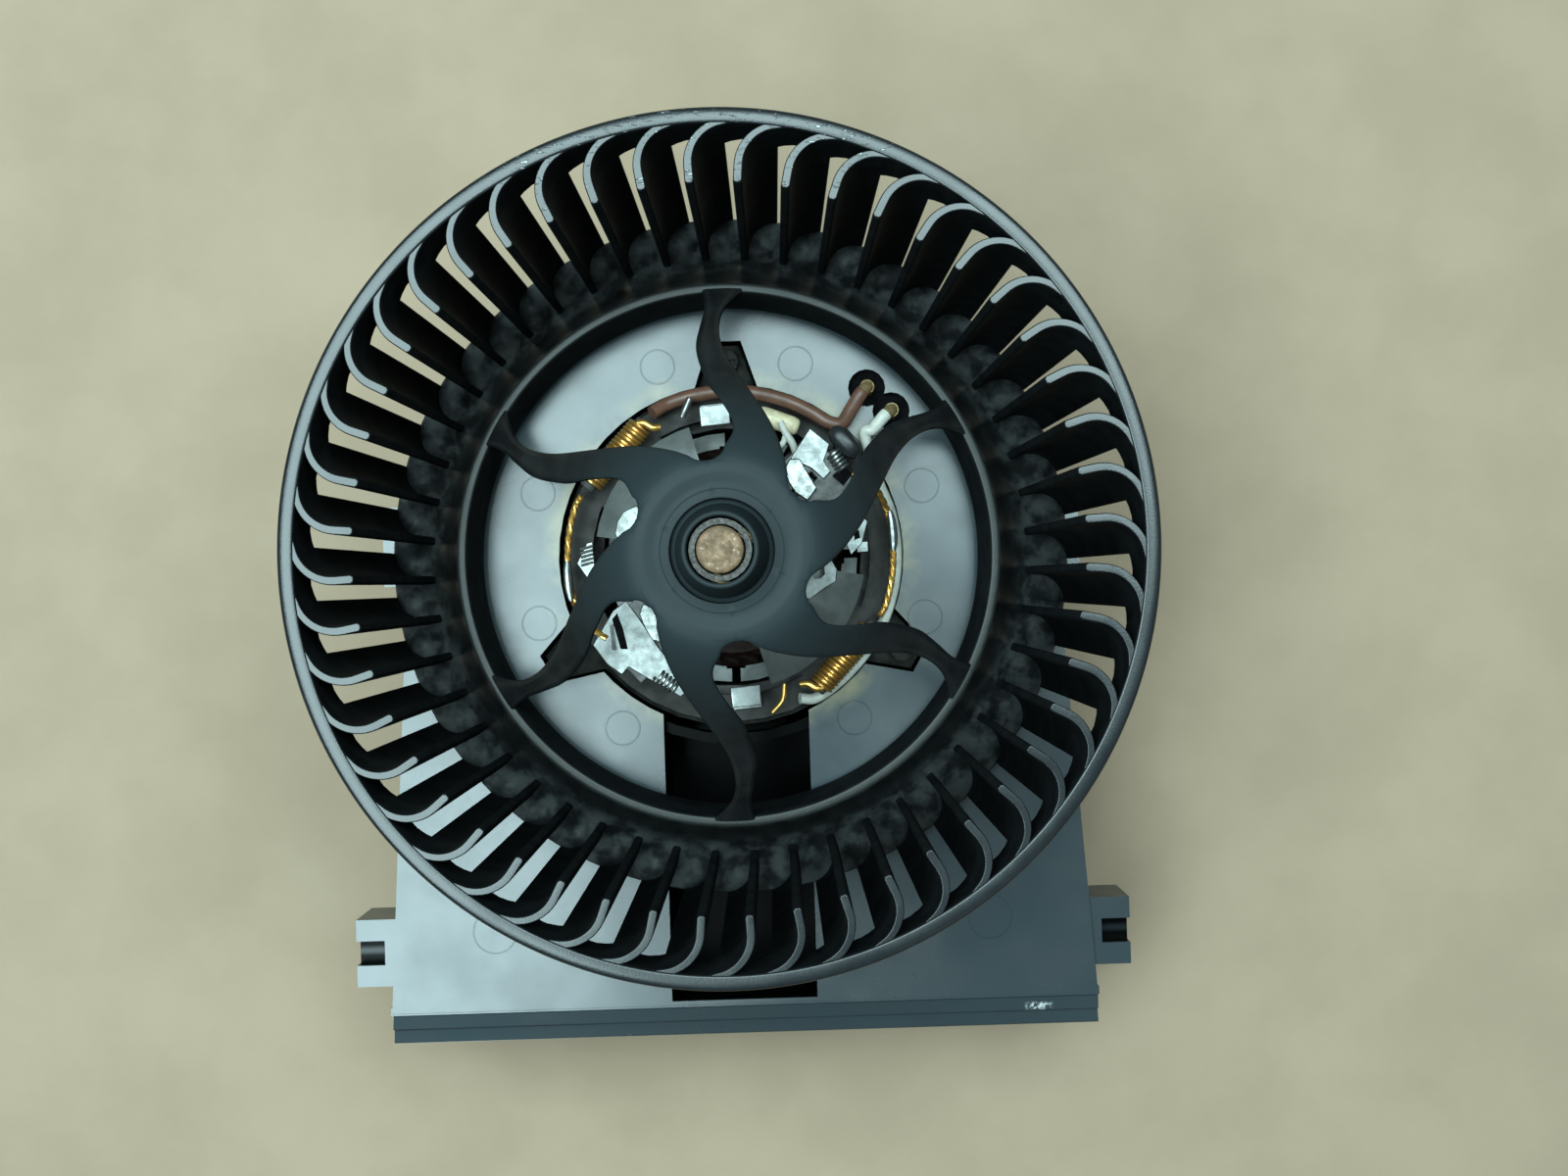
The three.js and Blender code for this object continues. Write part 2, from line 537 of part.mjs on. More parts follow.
// A clip is a C: a foot on the card, an upright and a flange bent back over the foot.
function cardClips() {
  const half = CLIP_HALF_WIDTH;
  const topZ = FOOT_Z + CLIP_HEIGHT;
  [0, 180].forEach((turn, index) => {
    const angle = CLIP_ANGLE + turn;
    const base = box([28, -half, FOOT_Z], [30.8, half, FOOT_Z + 1], angle);
    const upright = box([28, -half, FOOT_Z], [29, half, topZ], angle);
    const flange = box([26, -half, topZ - CLIP_GAUGE], [30, half, topZ], angle);
    add(`card_clip_${index + 1}`, union([base, upright, flange]), BRIGHT_STEEL);
  });
}

// ---------------------------------------------------------------- leads and connector
const BROWN_LEAD_R = 1.4;
const WHITE_LEAD_R = 1.1;
const LEAD_BEND_Z = 53;
const BARREL_TOP_Z = 50.2;
const CAPACITOR_ANGLE = CONNECTOR_ANGLE - 3;
const SUPPRESSOR_ANGLE = 69;
const SUPPRESSOR_R = 28.6;
const SUPPRESSOR_Z = 50;

// A lead stands on its terminal, bends inward over the aperture edge and follows it
// round, at its own radius and height, to its end.
function lead(name, holeAngle, radius, run, steps, material) {
  const route = [
    [...polar(WIRE_HOLE_R, holeAngle), BARREL_TOP_Z + 2 * GAP],
    [...polar(WIRE_HOLE_R - 0.2, holeAngle), BARREL_TOP_Z + 1.6],
    [...polar(WIRE_HOLE_R - 3.4, holeAngle), LEAD_BEND_Z],
    [...polar(WIRE_HOLE_R - 7.5, holeAngle), LEAD_BEND_Z - 0.8],
    ...run,
  ];
  add(name, wire(route, radius, 8, steps), material);
}

function wiring() {
  const brownRun = [...arcPoints(32.9, 50.2, 60, 111, 7), [...polar(32.4, 117), CHOKE_Z - 0.6]];
  lead('lead_brown', BROWN_HOLE_ANGLE, BROWN_LEAD_R, brownRun, 28, BROWN_INSULATION);
  const whiteRun = [...arcPoints(33.2, 48.3, 26, -60, 7), [...polar(31.6, -66), 49.4]];
  lead('lead_white', WHITE_HOLE_ANGLE, WHITE_LEAD_R, whiteRun, 34, WHITE_INSULATION);

  const body = box([29.6, -3.4, 53.4], [33.8, 4.4, 58.2], CAPACITOR_ANGLE);
  const legs = [-0.6, 1.6].map((v) => (
    box([29.9, v - 0.4, FOOT_Z], [30.7, v + 0.4, 54], CAPACITOR_ANGLE)
  ));
  add('suppression_capacitor', union([body, ...legs]), RUBBER);

  const bead = ring(0, 1.9, -4.4, 4.4, 16).rotate([90, 0, 0]).translate([SUPPRESSOR_R, 0, SUPPRESSOR_Z]);
  const stem = box([SUPPRESSOR_R - 0.4, -0.5, FOOT_Z], [SUPPRESSOR_R + 0.4, 0.5, SUPPRESSOR_Z - 1]);
  add('ceramic_suppressor', bead.add(stem).rotate([0, 0, SUPPRESSOR_ANGLE]), CERAMIC);
}

function connector() {
  const top = DECK_Z - DECK_THICKNESS - GAP;
  const pinReach = 12;
  const shell = box([38.6, -9, CONNECTOR_BOTTOM_Z], [48.6, 9, top], CONNECTOR_ANGLE);
  const socket = box(
    [40.1, -7.5, CONNECTOR_BOTTOM_Z - 1], [47.1, 7.5, CONNECTOR_BOTTOM_Z + pinReach], CONNECTOR_ANGLE,
  );
  const holes = [BROWN_HOLE_ANGLE, WHITE_HOLE_ANGLE].map((angle) => (
    post(1.6, CONNECTOR_BOTTOM_Z, DECK_Z, WIRE_HOLE_R, angle, 16)
  ));
  add('connector_housing', shell.subtract(socket).subtract(union(holes)), BLACK_PLASTIC);

  const terminals = [['terminal_brown', BROWN_HOLE_ANGLE], ['terminal_white', WHITE_HOLE_ANGLE]];
  terminals.forEach(([name, angle]) => {
    const pin = post(1.2, CONNECTOR_BOTTOM_Z + 3, top + 2, WIRE_HOLE_R, angle, 12);
    const barrel = post(1.9, top + 1, BARREL_TOP_Z, WIRE_HOLE_R, angle, 16);
    add(name, pin.add(barrel), BRASS);
  });
}

// ---------------------------------------------------------------- base
// Tapered sides, square front and a half-round rear, drawn in by an inset.
function plateOutline(inset, frontY) {
  const rear = HALF_WIDTH_AT_AXIS - inset;
  const front = rear - frontY * SIDE_TAPER;
  return [[-front, frontY], [front, frontY], ...flatArc(rear, 0, 180, 20)];
}

function sideLugs(side) {
  const along = (y) => HALF_WIDTH_AT_AXIS - y * SIDE_TAPER;
  const mirror = (low, high) => {
    const [near, far] = [side * low[0], side * high[0]];
    return box([Math.min(near, far), low[1], low[2]], [Math.max(near, far), high[1], high[2]]);
  };
  const front = mirror([along(-78) - 2, -84.4, 32], [77.9, -70.9, 47]);
  const groove = mirror([72.2, -80.1, 43.4], [79, -75.2, 49]);
  const middle = mirror([62, -4, SKIRT_BOTTOM_Z], [70.3, 12, 45.6]);
  return front.subtract(groove).add(middle);
}

function baseHousing() {
  const deckBottom = DECK_Z - DECK_THICKNESS;
  const deck = raised(plateOutline(0, FRONT_Y), deckBottom, DECK_Z);
  const skirt = raised(plateOutline(0, FRONT_Y), SKIRT_BOTTOM_Z, DECK_Z - 1)
    .subtract(raised(plateOutline(SKIRT_WALL, FRONT_Y + SKIRT_WALL), SKIRT_BOTTOM_Z - 1, DECK_Z));
  const frontHalf = HALF_WIDTH_AT_AXIS - FRONT_Y * SIDE_TAPER;
  const frontBar = box([0.2 - frontHalf, FRONT_Y, 39], [frontHalf - 0.2, LIP_STEP_Y[0] + 1.6, DECK_Z]);
  const frontWall = box([1 - frontHalf, FRONT_Y, 24], [frontHalf - 1, FRONT_Y + SKIRT_WALL, 40]);
  const cup = ring(CUP_INNER_R - 1, CUP_OUTER_R, COVER_THICKNESS + GAP, deckBottom + 1, 36);
  const trough = box(
    [-CHANNEL_HALF_WIDTH - 2, CHANNEL_FRONT_Y - 2, CHANNEL_FLOOR_Z - 2],
    [CHANNEL_HALF_WIDTH + 2, -CUP_INNER_R + 4, deckBottom + 1],
  );
  const pocketWalls = box([34, -7.6, MOUNT_SEAT_Z - 5], [45.2, 7.6, deckBottom + 1]);
  const pockets = MOUNT_ANGLES.map((angle) => pocketWalls.rotate([0, 0, angle]));
  const bosses = COVER_SCREW_ANGLES.map((angle) => (
    post(4.2, COVER_THICKNESS + GAP, 26, COVER_SCREW_R, angle, 12)
  ));
  const shroud = box([36.8, -10.9, 30], [50.4, 10.9, deckBottom + 1], CONNECTOR_ANGLE);
  const solidParts = union([
    deck, skirt, frontBar, frontWall, cup, trough, shroud, ...pockets, ...bosses,
    sideLugs(1), sideLugs(-1),
  ]);

  const steps = LIP_STEP_Y.map((y, index) => box([-90, -120, LIP_STEP_Z[index]], [90, y, DECK_Z + 1]));
  const channel = box(
    [-CHANNEL_HALF_WIDTH, CHANNEL_FRONT_Y, CHANNEL_FLOOR_Z], [CHANNEL_HALF_WIDTH, -30, DECK_Z + 1],
  ).subtract(ring(0, CUP_OUTER_R, 0, 44, 36));
  const airWindow = box([-10, -45, 21], [10, -30, 38]);
  const cupHollow = ring(0, CUP_INNER_R, 0, deckBottom, 36);
  const aperture = ring(0, APERTURE_R, 0, DECK_Z + 1, 48);
  const pocket = raised(mountOutline(30, 0), MOUNT_SEAT_Z, DECK_Z + 1);
  const pocketHollows = MOUNT_ANGLES.map((angle) => pocket.rotate([0, 0, angle]));
  const screwHoles = MOUNT_ANGLES.map((angle) => post(1.7, 20, 40, MOUNT_SCREW_R, angle, 12));
  const bossHoles = COVER_SCREW_ANGLES.map((angle) => post(1.7, 0, 20, COVER_SCREW_R, angle, 12));
  const wireHoles = [BROWN_HOLE_ANGLE, WHITE_HOLE_ANGLE].map((angle) => (
    post(WIRE_HOLE_RADIUS, deckBottom - 1, DECK_Z + 1, WIRE_HOLE_R, angle)
  ));
  const connectorHollow = box([38.3, -9.3, 20], [48.9, 9.3, deckBottom], CONNECTOR_ANGLE);
  const hollows = union([
    ...steps, channel, airWindow, cupHollow, aperture, connectorHollow,
    ...pocketHollows, ...screwHoles, ...bossHoles, ...wireHoles,
  ]);
  add('base_housing', solidParts.subtract(hollows), GREY_PLASTIC);
}

function rearCover() {
  const ears = COVER_SCREW_ANGLES.map((angle) => (
    post(4.6, 0, COVER_THICKNESS, COVER_SCREW_R, angle, 12)
  ));
  const holes = COVER_SCREW_ANGLES.map((angle) => (
    post(1.8, -1, 5, COVER_SCREW_R, angle, 12).add(post(3.4, -1, 1.8, COVER_SCREW_R, angle, 12))
  ));
  const disc = ring(0, 39.4, 0, COVER_THICKNESS, 36);
  add('rear_cover', union([disc, ...ears]).subtract(union(holes)), GREY_PLASTIC);
  COVER_SCREW_ANGLES.forEach((angle, index) => {
    const shank = post(1.4, 0.8, 15, COVER_SCREW_R, angle, 12);
    const head = post(3, 0.3, 1.5, COVER_SCREW_R, angle, 12);
    add(`cover_screw_${index + 1}`, shank.add(head), BRIGHT_STEEL);
  });
}

fanWheel();
rotorHardware();
armature();
motorShell();
motorMounting();
brushCard();
[0, 180].forEach((turn, index) => {
  brushGear(index + 1, turn, HOLDER_BACK_R + 2 * index);
  chokeAndPigtail(index + 1, turn);
});
bearingBridge();
cardClips();
wiring();
connector();
baseHousing();
rearCover();

export default blower;
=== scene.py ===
# Looks of the heater blower: a one-piece wheel on a brush motor in a slide-in base.
# Shapes are worked out in millimetres in the CAD frame and made in metres.
import math

import bmesh
import bpy
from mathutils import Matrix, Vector
from mathutils.kdtree import KDTree


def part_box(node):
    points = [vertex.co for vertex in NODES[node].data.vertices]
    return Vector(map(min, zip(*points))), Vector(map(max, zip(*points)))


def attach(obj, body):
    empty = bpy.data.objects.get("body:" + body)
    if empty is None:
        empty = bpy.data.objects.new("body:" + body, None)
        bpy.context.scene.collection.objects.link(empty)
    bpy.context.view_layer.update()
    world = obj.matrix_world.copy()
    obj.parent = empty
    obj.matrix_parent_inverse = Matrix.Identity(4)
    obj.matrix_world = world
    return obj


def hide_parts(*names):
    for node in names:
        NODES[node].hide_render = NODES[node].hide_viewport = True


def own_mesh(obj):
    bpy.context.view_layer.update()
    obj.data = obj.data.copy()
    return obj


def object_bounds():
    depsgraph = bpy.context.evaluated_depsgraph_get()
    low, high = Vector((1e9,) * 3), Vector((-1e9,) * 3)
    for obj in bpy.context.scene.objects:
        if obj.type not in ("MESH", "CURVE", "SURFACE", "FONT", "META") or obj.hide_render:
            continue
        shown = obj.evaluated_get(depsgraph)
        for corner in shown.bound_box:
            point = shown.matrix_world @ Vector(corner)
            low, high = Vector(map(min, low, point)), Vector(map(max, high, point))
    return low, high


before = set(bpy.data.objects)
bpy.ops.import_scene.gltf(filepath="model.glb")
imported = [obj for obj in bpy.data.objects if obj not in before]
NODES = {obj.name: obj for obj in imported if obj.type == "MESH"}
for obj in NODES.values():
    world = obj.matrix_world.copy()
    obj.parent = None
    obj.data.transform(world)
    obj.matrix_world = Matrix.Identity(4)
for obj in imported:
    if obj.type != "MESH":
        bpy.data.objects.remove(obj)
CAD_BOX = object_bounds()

MM = 0.001


def low(node):
    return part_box(node)[0] / MM


def high(node):
    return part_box(node)[1] / MM


# Heights and radii of the CAD model that the shapes below are worked out from.
RIM_Z = high("fan_wheel").z
RIM_R = high("fan_wheel").x
DECK_Z = high("base_housing").z
CARD_CRADLE_HEIGHT = 2.6
CARD_TOP_Z = high("brush_card").z - CARD_CRADLE_HEIGHT
HOLDER_TOP_Z = high("brush_holder_1").z
SHAFT_R = high("motor_shaft").x

# Wheel: blades that lean outward from foot to rim and hook into it, and S-shaped spokes.
BLADE_COUNT = 48
BLADE_PHASE = 137.9
BLADE_INNER_R = 60.1
BLADE_BEND_R = 63.2
BLADE_HOOK_R = 6.6
BLADE_HEIGHT = 67.1
BLADE_FOOT_SCALE = 0.963
BLADE_HALF_THICKNESS = 0.75
RIM_INNER_R = 69.8
RIM_HEIGHT = 11.6
SPOKE_COUNT = 6
SPOKE_STEP = 360 / SPOKE_COUNT
LIP_DEPTH = 53.0
DISH_HOLE = (55, 110.7)

# Base and brush gear. Angles run anticlockwise from the right, in degrees.
APERTURE_R = 34.6
HALF_WIDTH = 65.2
SIDE_TAPER = math.tan(math.radians(3.65))
LUG_GROOVE_X = 72.0
LUG_GROOVE_Y = -77.65
LUG_GROOVE_HALF_WIDTH = 2.5
SCUFF_PLACE = (59, -92.4)
HALF_TURNS = {1: 0, 2: 180}
BRUSH_ANGLE = 42.0
CHOKE_ANGLE = 137.0
CHOKE_R = 30.4
CHOKE_LENGTH = 16.0
CHOKE_TURNS = 18
CHOKE_COIL_R = 2.18
STRAND_R = 0.36
WIRE_HOLE_R = 43.4
HOLE_ANGLES = {"brown": 49.4, "white": 40.5}
COIL_CROSSINGS = 36
COMMUTATOR_BARS = 24

# Camera and lamps, in metres: the camera looks straight down at the wheel.
CAMERA_X = 0.0104
CAMERA_Y = -0.0067
CAMERA_ABOVE_RIM = 0.309
CAMERA_LENS = 43.4
CAMERA_ROLL = -1.8
PANEL_HEIGHT = 1.05
PANEL_POWER_PER_AREA = 36


# ---------------------------------------------------------------- shapes
def polar(radius, degrees, z=0.0):
    angle = math.radians(degrees)
    return (radius * math.cos(angle), radius * math.sin(angle), z)


def at_angle(points, degrees):
    """Points of (out, across, z) turned so that 'out' runs along an angle."""
    c, s = math.cos(math.radians(degrees)), math.sin(math.radians(degrees))
    return [(u * c - v * s, u * s + v * c, z) for u, v, z in points]


def lerp(a, b, share):
    return a + (b - a) * share


def spread(start, end, count):
    return [lerp(start, end, i / (count - 1)) for i in range(count)]


def grid_faces(rows, columns, wrap_rows=False, wrap_columns=False):
    faces = []
    for i in range(rows if wrap_rows else rows - 1):
        for j in range(columns if wrap_columns else columns - 1):
            k, m = (i + 1) % rows, (j + 1) % columns
            faces.append((i * columns + j, i * columns + m, k * columns + m, k * columns + j))
    return faces


def lathe(profile, segments=128):
    """A closed loop of (radius, z) turned about the shaft axis."""
    vertices = [polar(r, 360 * i / segments, z) for i in range(segments) for r, z in profile]
    return vertices, grid_faces(segments, len(profile), wrap_rows=True, wrap_columns=True)


def loft(loops):
    """Closed loops of equal length joined in order, with the first and last capped."""
    count = len(loops[0])
    vertices = [point for loop in loops for point in loop]
    faces = grid_faces(len(loops), count, wrap_columns=True)
    faces.append(tuple(range(count)))
    faces.append(tuple(range(len(vertices) - count, len(vertices))))
    return vertices, faces


def together(*shapes):
    vertices, faces = [], []
    for more_vertices, more_faces in shapes:
        start = len(vertices)
        vertices.extend(more_vertices)
        faces.extend(tuple(start + i for i in face) for face in more_faces)
    return vertices, faces


def turned(shape, degrees):
    return at_angle(shape[0], degrees), shape[1]


def moved(shape, offset):
    return [tuple(a + b for a, b in zip(point, offset)) for point in shape[0]], shape[1]


def curve(points, steps=8):
    """A smooth line through points, by Catmull-Rom."""
    p = [Vector(q) for q in points]
    p = [p[0] * 2 - p[1], *p, p[-1] * 2 - p[-2]]
    line = []
    for a, b, c, d in zip(p, p[1:], p[2:], p[3:]):
        for i in range(steps):
            t = i / steps
            line.append(0.5 * (2 * b + (c - a) * t + (2 * a - 5 * b + 4 * c - d) * t * t
                               + (3 * b - a - 3 * c + d) * t ** 3))
    line.append(p[-2])
    return line


def tube(points, radius, sides=12):
    """A round bar along a line; radius is one number or one per point."""
    line = [Vector(q) for q in points]
    radii = radius if isinstance(radius, list) else [radius] * len(line)
    ahead = (line[1] - line[0]).normalized()
    side = ahead.orthogonal().normalized()
    loops = []
    for i, centre in enumerate(line):
        new = (line[min(i + 1, len(line) - 1)] - line[max(i - 1, 0)]).normalized()
        side = ahead.rotation_difference(new) @ side
        side = (side - new * side.dot(new)).normalized()
        ahead = new
        other = ahead.cross(side)
        loops.append([
            tuple(centre + radii[i] * (side * math.cos(a) + other * math.sin(a)))
            for a in spread(0, 2 * math.pi * (sides - 1) / sides, sides)
        ])
    return loft(loops)


def helix(start, end, radius, turns, per_turn=14):
    """Points of a coil about the line from start to end."""
    start, end = Vector(start), Vector(end)
    axis = (end - start).normalized()
    side = axis.orthogonal().normalized()
    other = axis.cross(side)
    points = []
    for i in range(int(turns * per_turn) + 1):
        angle = 2 * math.pi * i / per_turn
        along = start.lerp(end, i / (turns * per_turn))
        points.append(along + radius * (side * math.cos(angle) + other * math.sin(angle)))
    return points


def prism(outline, bottom, top, edge=0.2):
    """A flat outline of (x, y) raised between two heights, its long edges eased."""
    centre = Vector((sum(p[0] for p in outline), sum(p[1] for p in outline))) / len(outline)

    def inset(amount, z):
        loop = []
        for x, y in outline:
            inward = (centre - Vector((x, y))).normalized() * amount
            loop.append((x + inward.x, y + inward.y, z))
        return loop
    levels = [(edge, bottom), (0, bottom + edge), (0, top - edge), (edge, top)]
    return loft([inset(amount, z) for amount, z in levels])


def dress(obj, finish, body, nodes=(), smooth=32):
    """Gives a new piece its finish, shading and body, and hides the CAD nodes it stands for."""
    obj.data.shade_smooth()
    obj.data.set_sharp_from_angle(angle=math.radians(smooth))
    level = obj.modifiers.new("level", "WEIGHTED_NORMAL")
    level.mode = "FACE_AREA"
    level.weight = 80
    level.keep_sharp = True
    obj.data.materials.clear()
    obj.data.materials.append(FINISHES[finish])
    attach(obj, body)
    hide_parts(*nodes)
    return obj


def piece(name, shape, finish, body="base", nodes=(), smooth=32):
    mesh = bpy.data.meshes.new(name)
    mesh.from_pydata([[c * MM for c in point] for point in shape[0]], [], shape[1])
    work = bmesh.new()
    work.from_mesh(mesh)
    bmesh.ops.remove_doubles(work, verts=work.verts, dist=0.002 * MM)
    bmesh.ops.recalc_face_normals(work, faces=work.faces)
    work.to_mesh(mesh)
    work.free()
    obj = bpy.data.objects.new(name, mesh)
    bpy.context.scene.collection.objects.link(obj)
    return dress(obj, finish, body, nodes, smooth)


def softened(node, finish, edge=0.3, body="base"):
    """A copy of a CAD node with flat areas merged and its sharp edges rounded."""
    work = bmesh.new()
    work.from_mesh(NODES[node].data)
    bmesh.ops.remove_doubles(work, verts=work.verts, dist=0.002 * MM)
    bmesh.ops.dissolve_limit(
        work, angle_limit=math.radians(1), verts=work.verts, edges=work.edges,
    )
    sharp = [e for e in work.edges if e.is_manifold and e.calc_face_angle() > math.radians(28)]
    bmesh.ops.bevel(
        work, geom=sharp, offset=edge * MM, segments=2, profile=0.6,
        affect="EDGES", clamp_overlap=True,
    )
    mesh = bpy.data.meshes.new(node + "_shown")
    work.to_mesh(mesh)
    work.free()
    if "custom_normal" in mesh.attributes:
        mesh.attributes.remove(mesh.attributes["custom_normal"])
    obj = bpy.data.objects.new(node + "_shown", mesh)
    bpy.context.scene.collection.objects.link(obj)
    return dress(obj, finish, body, [node])


# ---------------------------------------------------------------- finishes
class Paint:
    """Adds and links the shader nodes of one material."""

    def __init__(self, name, colour, roughness, metallic=0.0, specular=0.5):
        self.material = bpy.data.materials.new(name)
        self.material.use_nodes = True
        self.tree = self.material.node_tree
        self.shader = self.tree.nodes["Principled BSDF"]
        self.shader.inputs["Base Color"].default_value = (*colour, 1)
        self.shader.inputs["Roughness"].default_value = roughness
        self.shader.inputs["Metallic"].default_value = metallic
        self.shader.inputs["Specular IOR Level"].default_value = specular
        self.place = self.add("TexCoord").outputs["Object"]

    def add(self, kind, values=None, **settings):
        node = self.tree.nodes.new("ShaderNode" + kind)
        for key, value in settings.items():
            setattr(node, key, value)
        for key, value in (values or {}).items():
            if isinstance(value, bpy.types.NodeSocket):
                self.tree.links.new(value, node.inputs[key])
            else:
                node.inputs[key].default_value = value
        return node

    def maths(self, operation, *values):
        return self.add("Math", dict(enumerate(values)), operation=operation).outputs[0]

    def times(self, first, *factors):
        for factor in factors:
            first = self.maths("MULTIPLY", first, factor)
        return first

    def lessened(self, value, mask, share):
        """value less a share of itself where the mask is 1."""
        return self.times(value, self.maths("SUBTRACT", 1, self.times(mask, share)))

    def off(self, value, centre):
        """How far value is from centre, either way."""
        return self.maths("ABSOLUTE", self.maths("SUBTRACT", value, centre))

    def away(self, x, y, centre=(0, 0)):
        """Distance of (x, y) from an upright line through centre."""
        squares = [self.maths("POWER", self.off(v, c), 2) for v, c in zip((x, y), centre)]
        return self.maths("SQRT", self.maths("ADD", *squares))

    def colour(self):
        """What is linked to the base colour so far."""
        return self.shader.inputs["Base Color"].links[0].from_socket

    def noise(self, size, detail=3.0, stretch=(1, 1, 1)):
        """Noise whose features are about size millimetres."""
        scaled = self.add("Mapping", {"Vector": self.place, "Scale": stretch}).outputs[0]
        values = {"Vector": scaled, "Scale": 1 / (size * MM), "Detail": detail, "Roughness": 0.6}
        return self.add("TexNoise", values).outputs["Fac"]

    def between(self, value, start, end, low_value=0.0, high_value=1.0):
        """value mapped smoothly from start..end to low_value..high_value."""
        values = {0: value, 1: start, 2: end, 3: low_value, 4: high_value}
        return self.add("MapRange", values, interpolation_type="SMOOTHSTEP").outputs[0]

    def mix(self, factor, a, b):
        def colour(value):
            return value if isinstance(value, bpy.types.NodeSocket) else (*value, 1)
        node = self.add("Mix", {0: factor, 6: colour(a), 7: colour(b)}, data_type="RGBA")
        return node.outputs[2]

    def axes(self):
        """The place's x, y and z in millimetres."""
        parts = self.add("SeparateXYZ", {0: self.place}).outputs
        return [self.maths("DIVIDE", part, MM) for part in parts]

    def facing_up(self):
        normal = self.add("NewGeometry").outputs["Normal"]
        return self.add("SeparateXYZ", {0: normal}).outputs[2]

    def link(self, output, socket):
        self.tree.links.new(output, self.shader.inputs[socket])

    def bump(self, height, depth):
        """Raises the surface by height times depth millimetres, over any earlier bump."""
        values = {"Height": height, "Distance": depth * MM, "Strength": 1.0}
        if self.shader.inputs["Normal"].is_linked:
            values["Normal"] = self.shader.inputs["Normal"].links[0].from_socket
        self.link(self.add("Bump", values).outputs[0], "Normal")


def plain(name, colour, roughness, metallic=0.0, specular=0.5, blotch=0.25, size=3.0, grain=0.02,
          grain_size=0.25, stretch=(1, 1, 1)):
    """A finish with uneven colour and gloss at one scale and a fine grain in its surface."""
    paint = Paint(name, colour, roughness, metallic, specular)
    patches = paint.noise(size, 4.0)
    dark = [c * (1 - blotch) for c in colour]
    light = [min(1, c * (1 + blotch)) for c in colour]
    paint.link(paint.mix(paint.between(patches, 0.3, 0.7), dark, light), "Base Color")
    uneven = paint.between(patches, 0.3, 0.7, roughness * 1.18, roughness * 0.85)
    paint.link(uneven, "Roughness")
    paint.bump(paint.noise(grain_size, 2.0, stretch), grain)
    return paint


def wheel_plastic():
    """Black polypropylene, rubbed glossy on the rim and the blade tops, which carry a patchy painted
    highlight; the dish carries a painted sheen.
    """
    paint = plain("wheel_plastic", (0.008, 0.0095, 0.0105), 0.4, blotch=0.35, size=5,
                  grain=0.012, grain_size=0.35)
    x, y, z = paint.axes()
    up = paint.facing_up()
    radius = paint.away(x, y)
    on_hub = paint.between(radius, 34, 18)
    patchy = paint.between(paint.noise(1.6, 4.0), 0.25, 0.75, 0.5, 1.0)
    # Tops facing up near the rim: the grey mixed into them below is a painted highlight; the same mask
    # makes them glossier and carries the nicks.
    rubbed_lit_tops = paint.times(paint.between(up, 0.7, 0.97), paint.between(z, RIM_Z - 2.6, RIM_Z - 1.2))
    colour = paint.mix(paint.times(rubbed_lit_tops, patchy), paint.colour(), (0.011, 0.015, 0.017))

    # The upward-facing top of the lip round the spokes gets a patchy painted highlight, and a black disc
    # of painted shade stands for a small hole in the dish.
    lip_z = RIM_Z - LIP_DEPTH
    above = paint.between(z, lip_z - 1, lip_z - 0.2)
    below = paint.between(z, lip_z + 0.8, lip_z + 0.2)
    lit_lip_top = paint.times(above, below, paint.between(up, 0.6, 0.95), patchy)
    colour = paint.mix(lit_lip_top, colour, (0.02, 0.023, 0.021))
    hole_x, hole_y, _ = polar(*DISH_HOLE)
    # Black disc painted over the small hole in the dish: painted shade.
    hole = paint.times(paint.between(paint.away(x, y, (hole_x, hole_y)), 1.38, 1.1),
                       paint.between(z, lip_z + 3, lip_z + 1))

    # Pale patches on the upward-facing dish between the blade feet are a painted sheen.
    on_dish = paint.times(paint.between(radius, 52, 56), paint.between(z, lip_z + 1, lip_z - 3))
    painted_dish_sheen = paint.times(paint.between(paint.noise(4.5, 3.0), 0.38, 0.66), paint.between(up, 0.25, 0.9))
    colour = paint.mix(paint.times(on_dish, painted_dish_sheen), colour, (0.05, 0.056, 0.056))
    colour = paint.mix(on_hub, colour, (0.021, 0.029, 0.032))

    # Bright nicks cross the rear of the rim.
    around = paint.times(paint.maths("ARCTAN2", y, x), 180 / math.pi)
    rear = paint.times(paint.between(around, 62, 70), paint.between(around, 122, 112))
    nick = paint.between(paint.noise(0.8, 5.0, (0.4, 1.5, 1)), 0.6, 0.66)
    nicks = paint.times(rear, nick, rubbed_lit_tops)
    colour = paint.mix(nicks, colour, (0.5, 0.56, 0.57))
    paint.link(paint.mix(hole, colour, (0, 0, 0)), "Base Color")
    paint.bump(nicks, -0.15)

    # The rubbed tops are the glossiest. The hub, the dish and all upright walls are dull.
    rough = paint.between(paint.noise(14, 5.0), 0.35, 0.75, 0.34, 0.42)
    rough = paint.maths("ADD", rough, paint.times(on_hub, 0.12))
    rough = paint.maths("SUBTRACT", rough, paint.times(rubbed_lit_tops, 0.13))
    rough = paint.maths("ADD", rough, paint.between(up, 0.5, 0.1, 0, 0.35))
    paint.link(rough, "Roughness")
    shine = paint.lessened(paint.between(up, 0.05, 0.5, 0.05, 0.5), on_hub, 0.78)
    shine = paint.lessened(shine, paint.between(z, lip_z + 13, lip_z + 3), 0.4)
    paint.link(shine, "Specular IOR Level")
    return paint.material


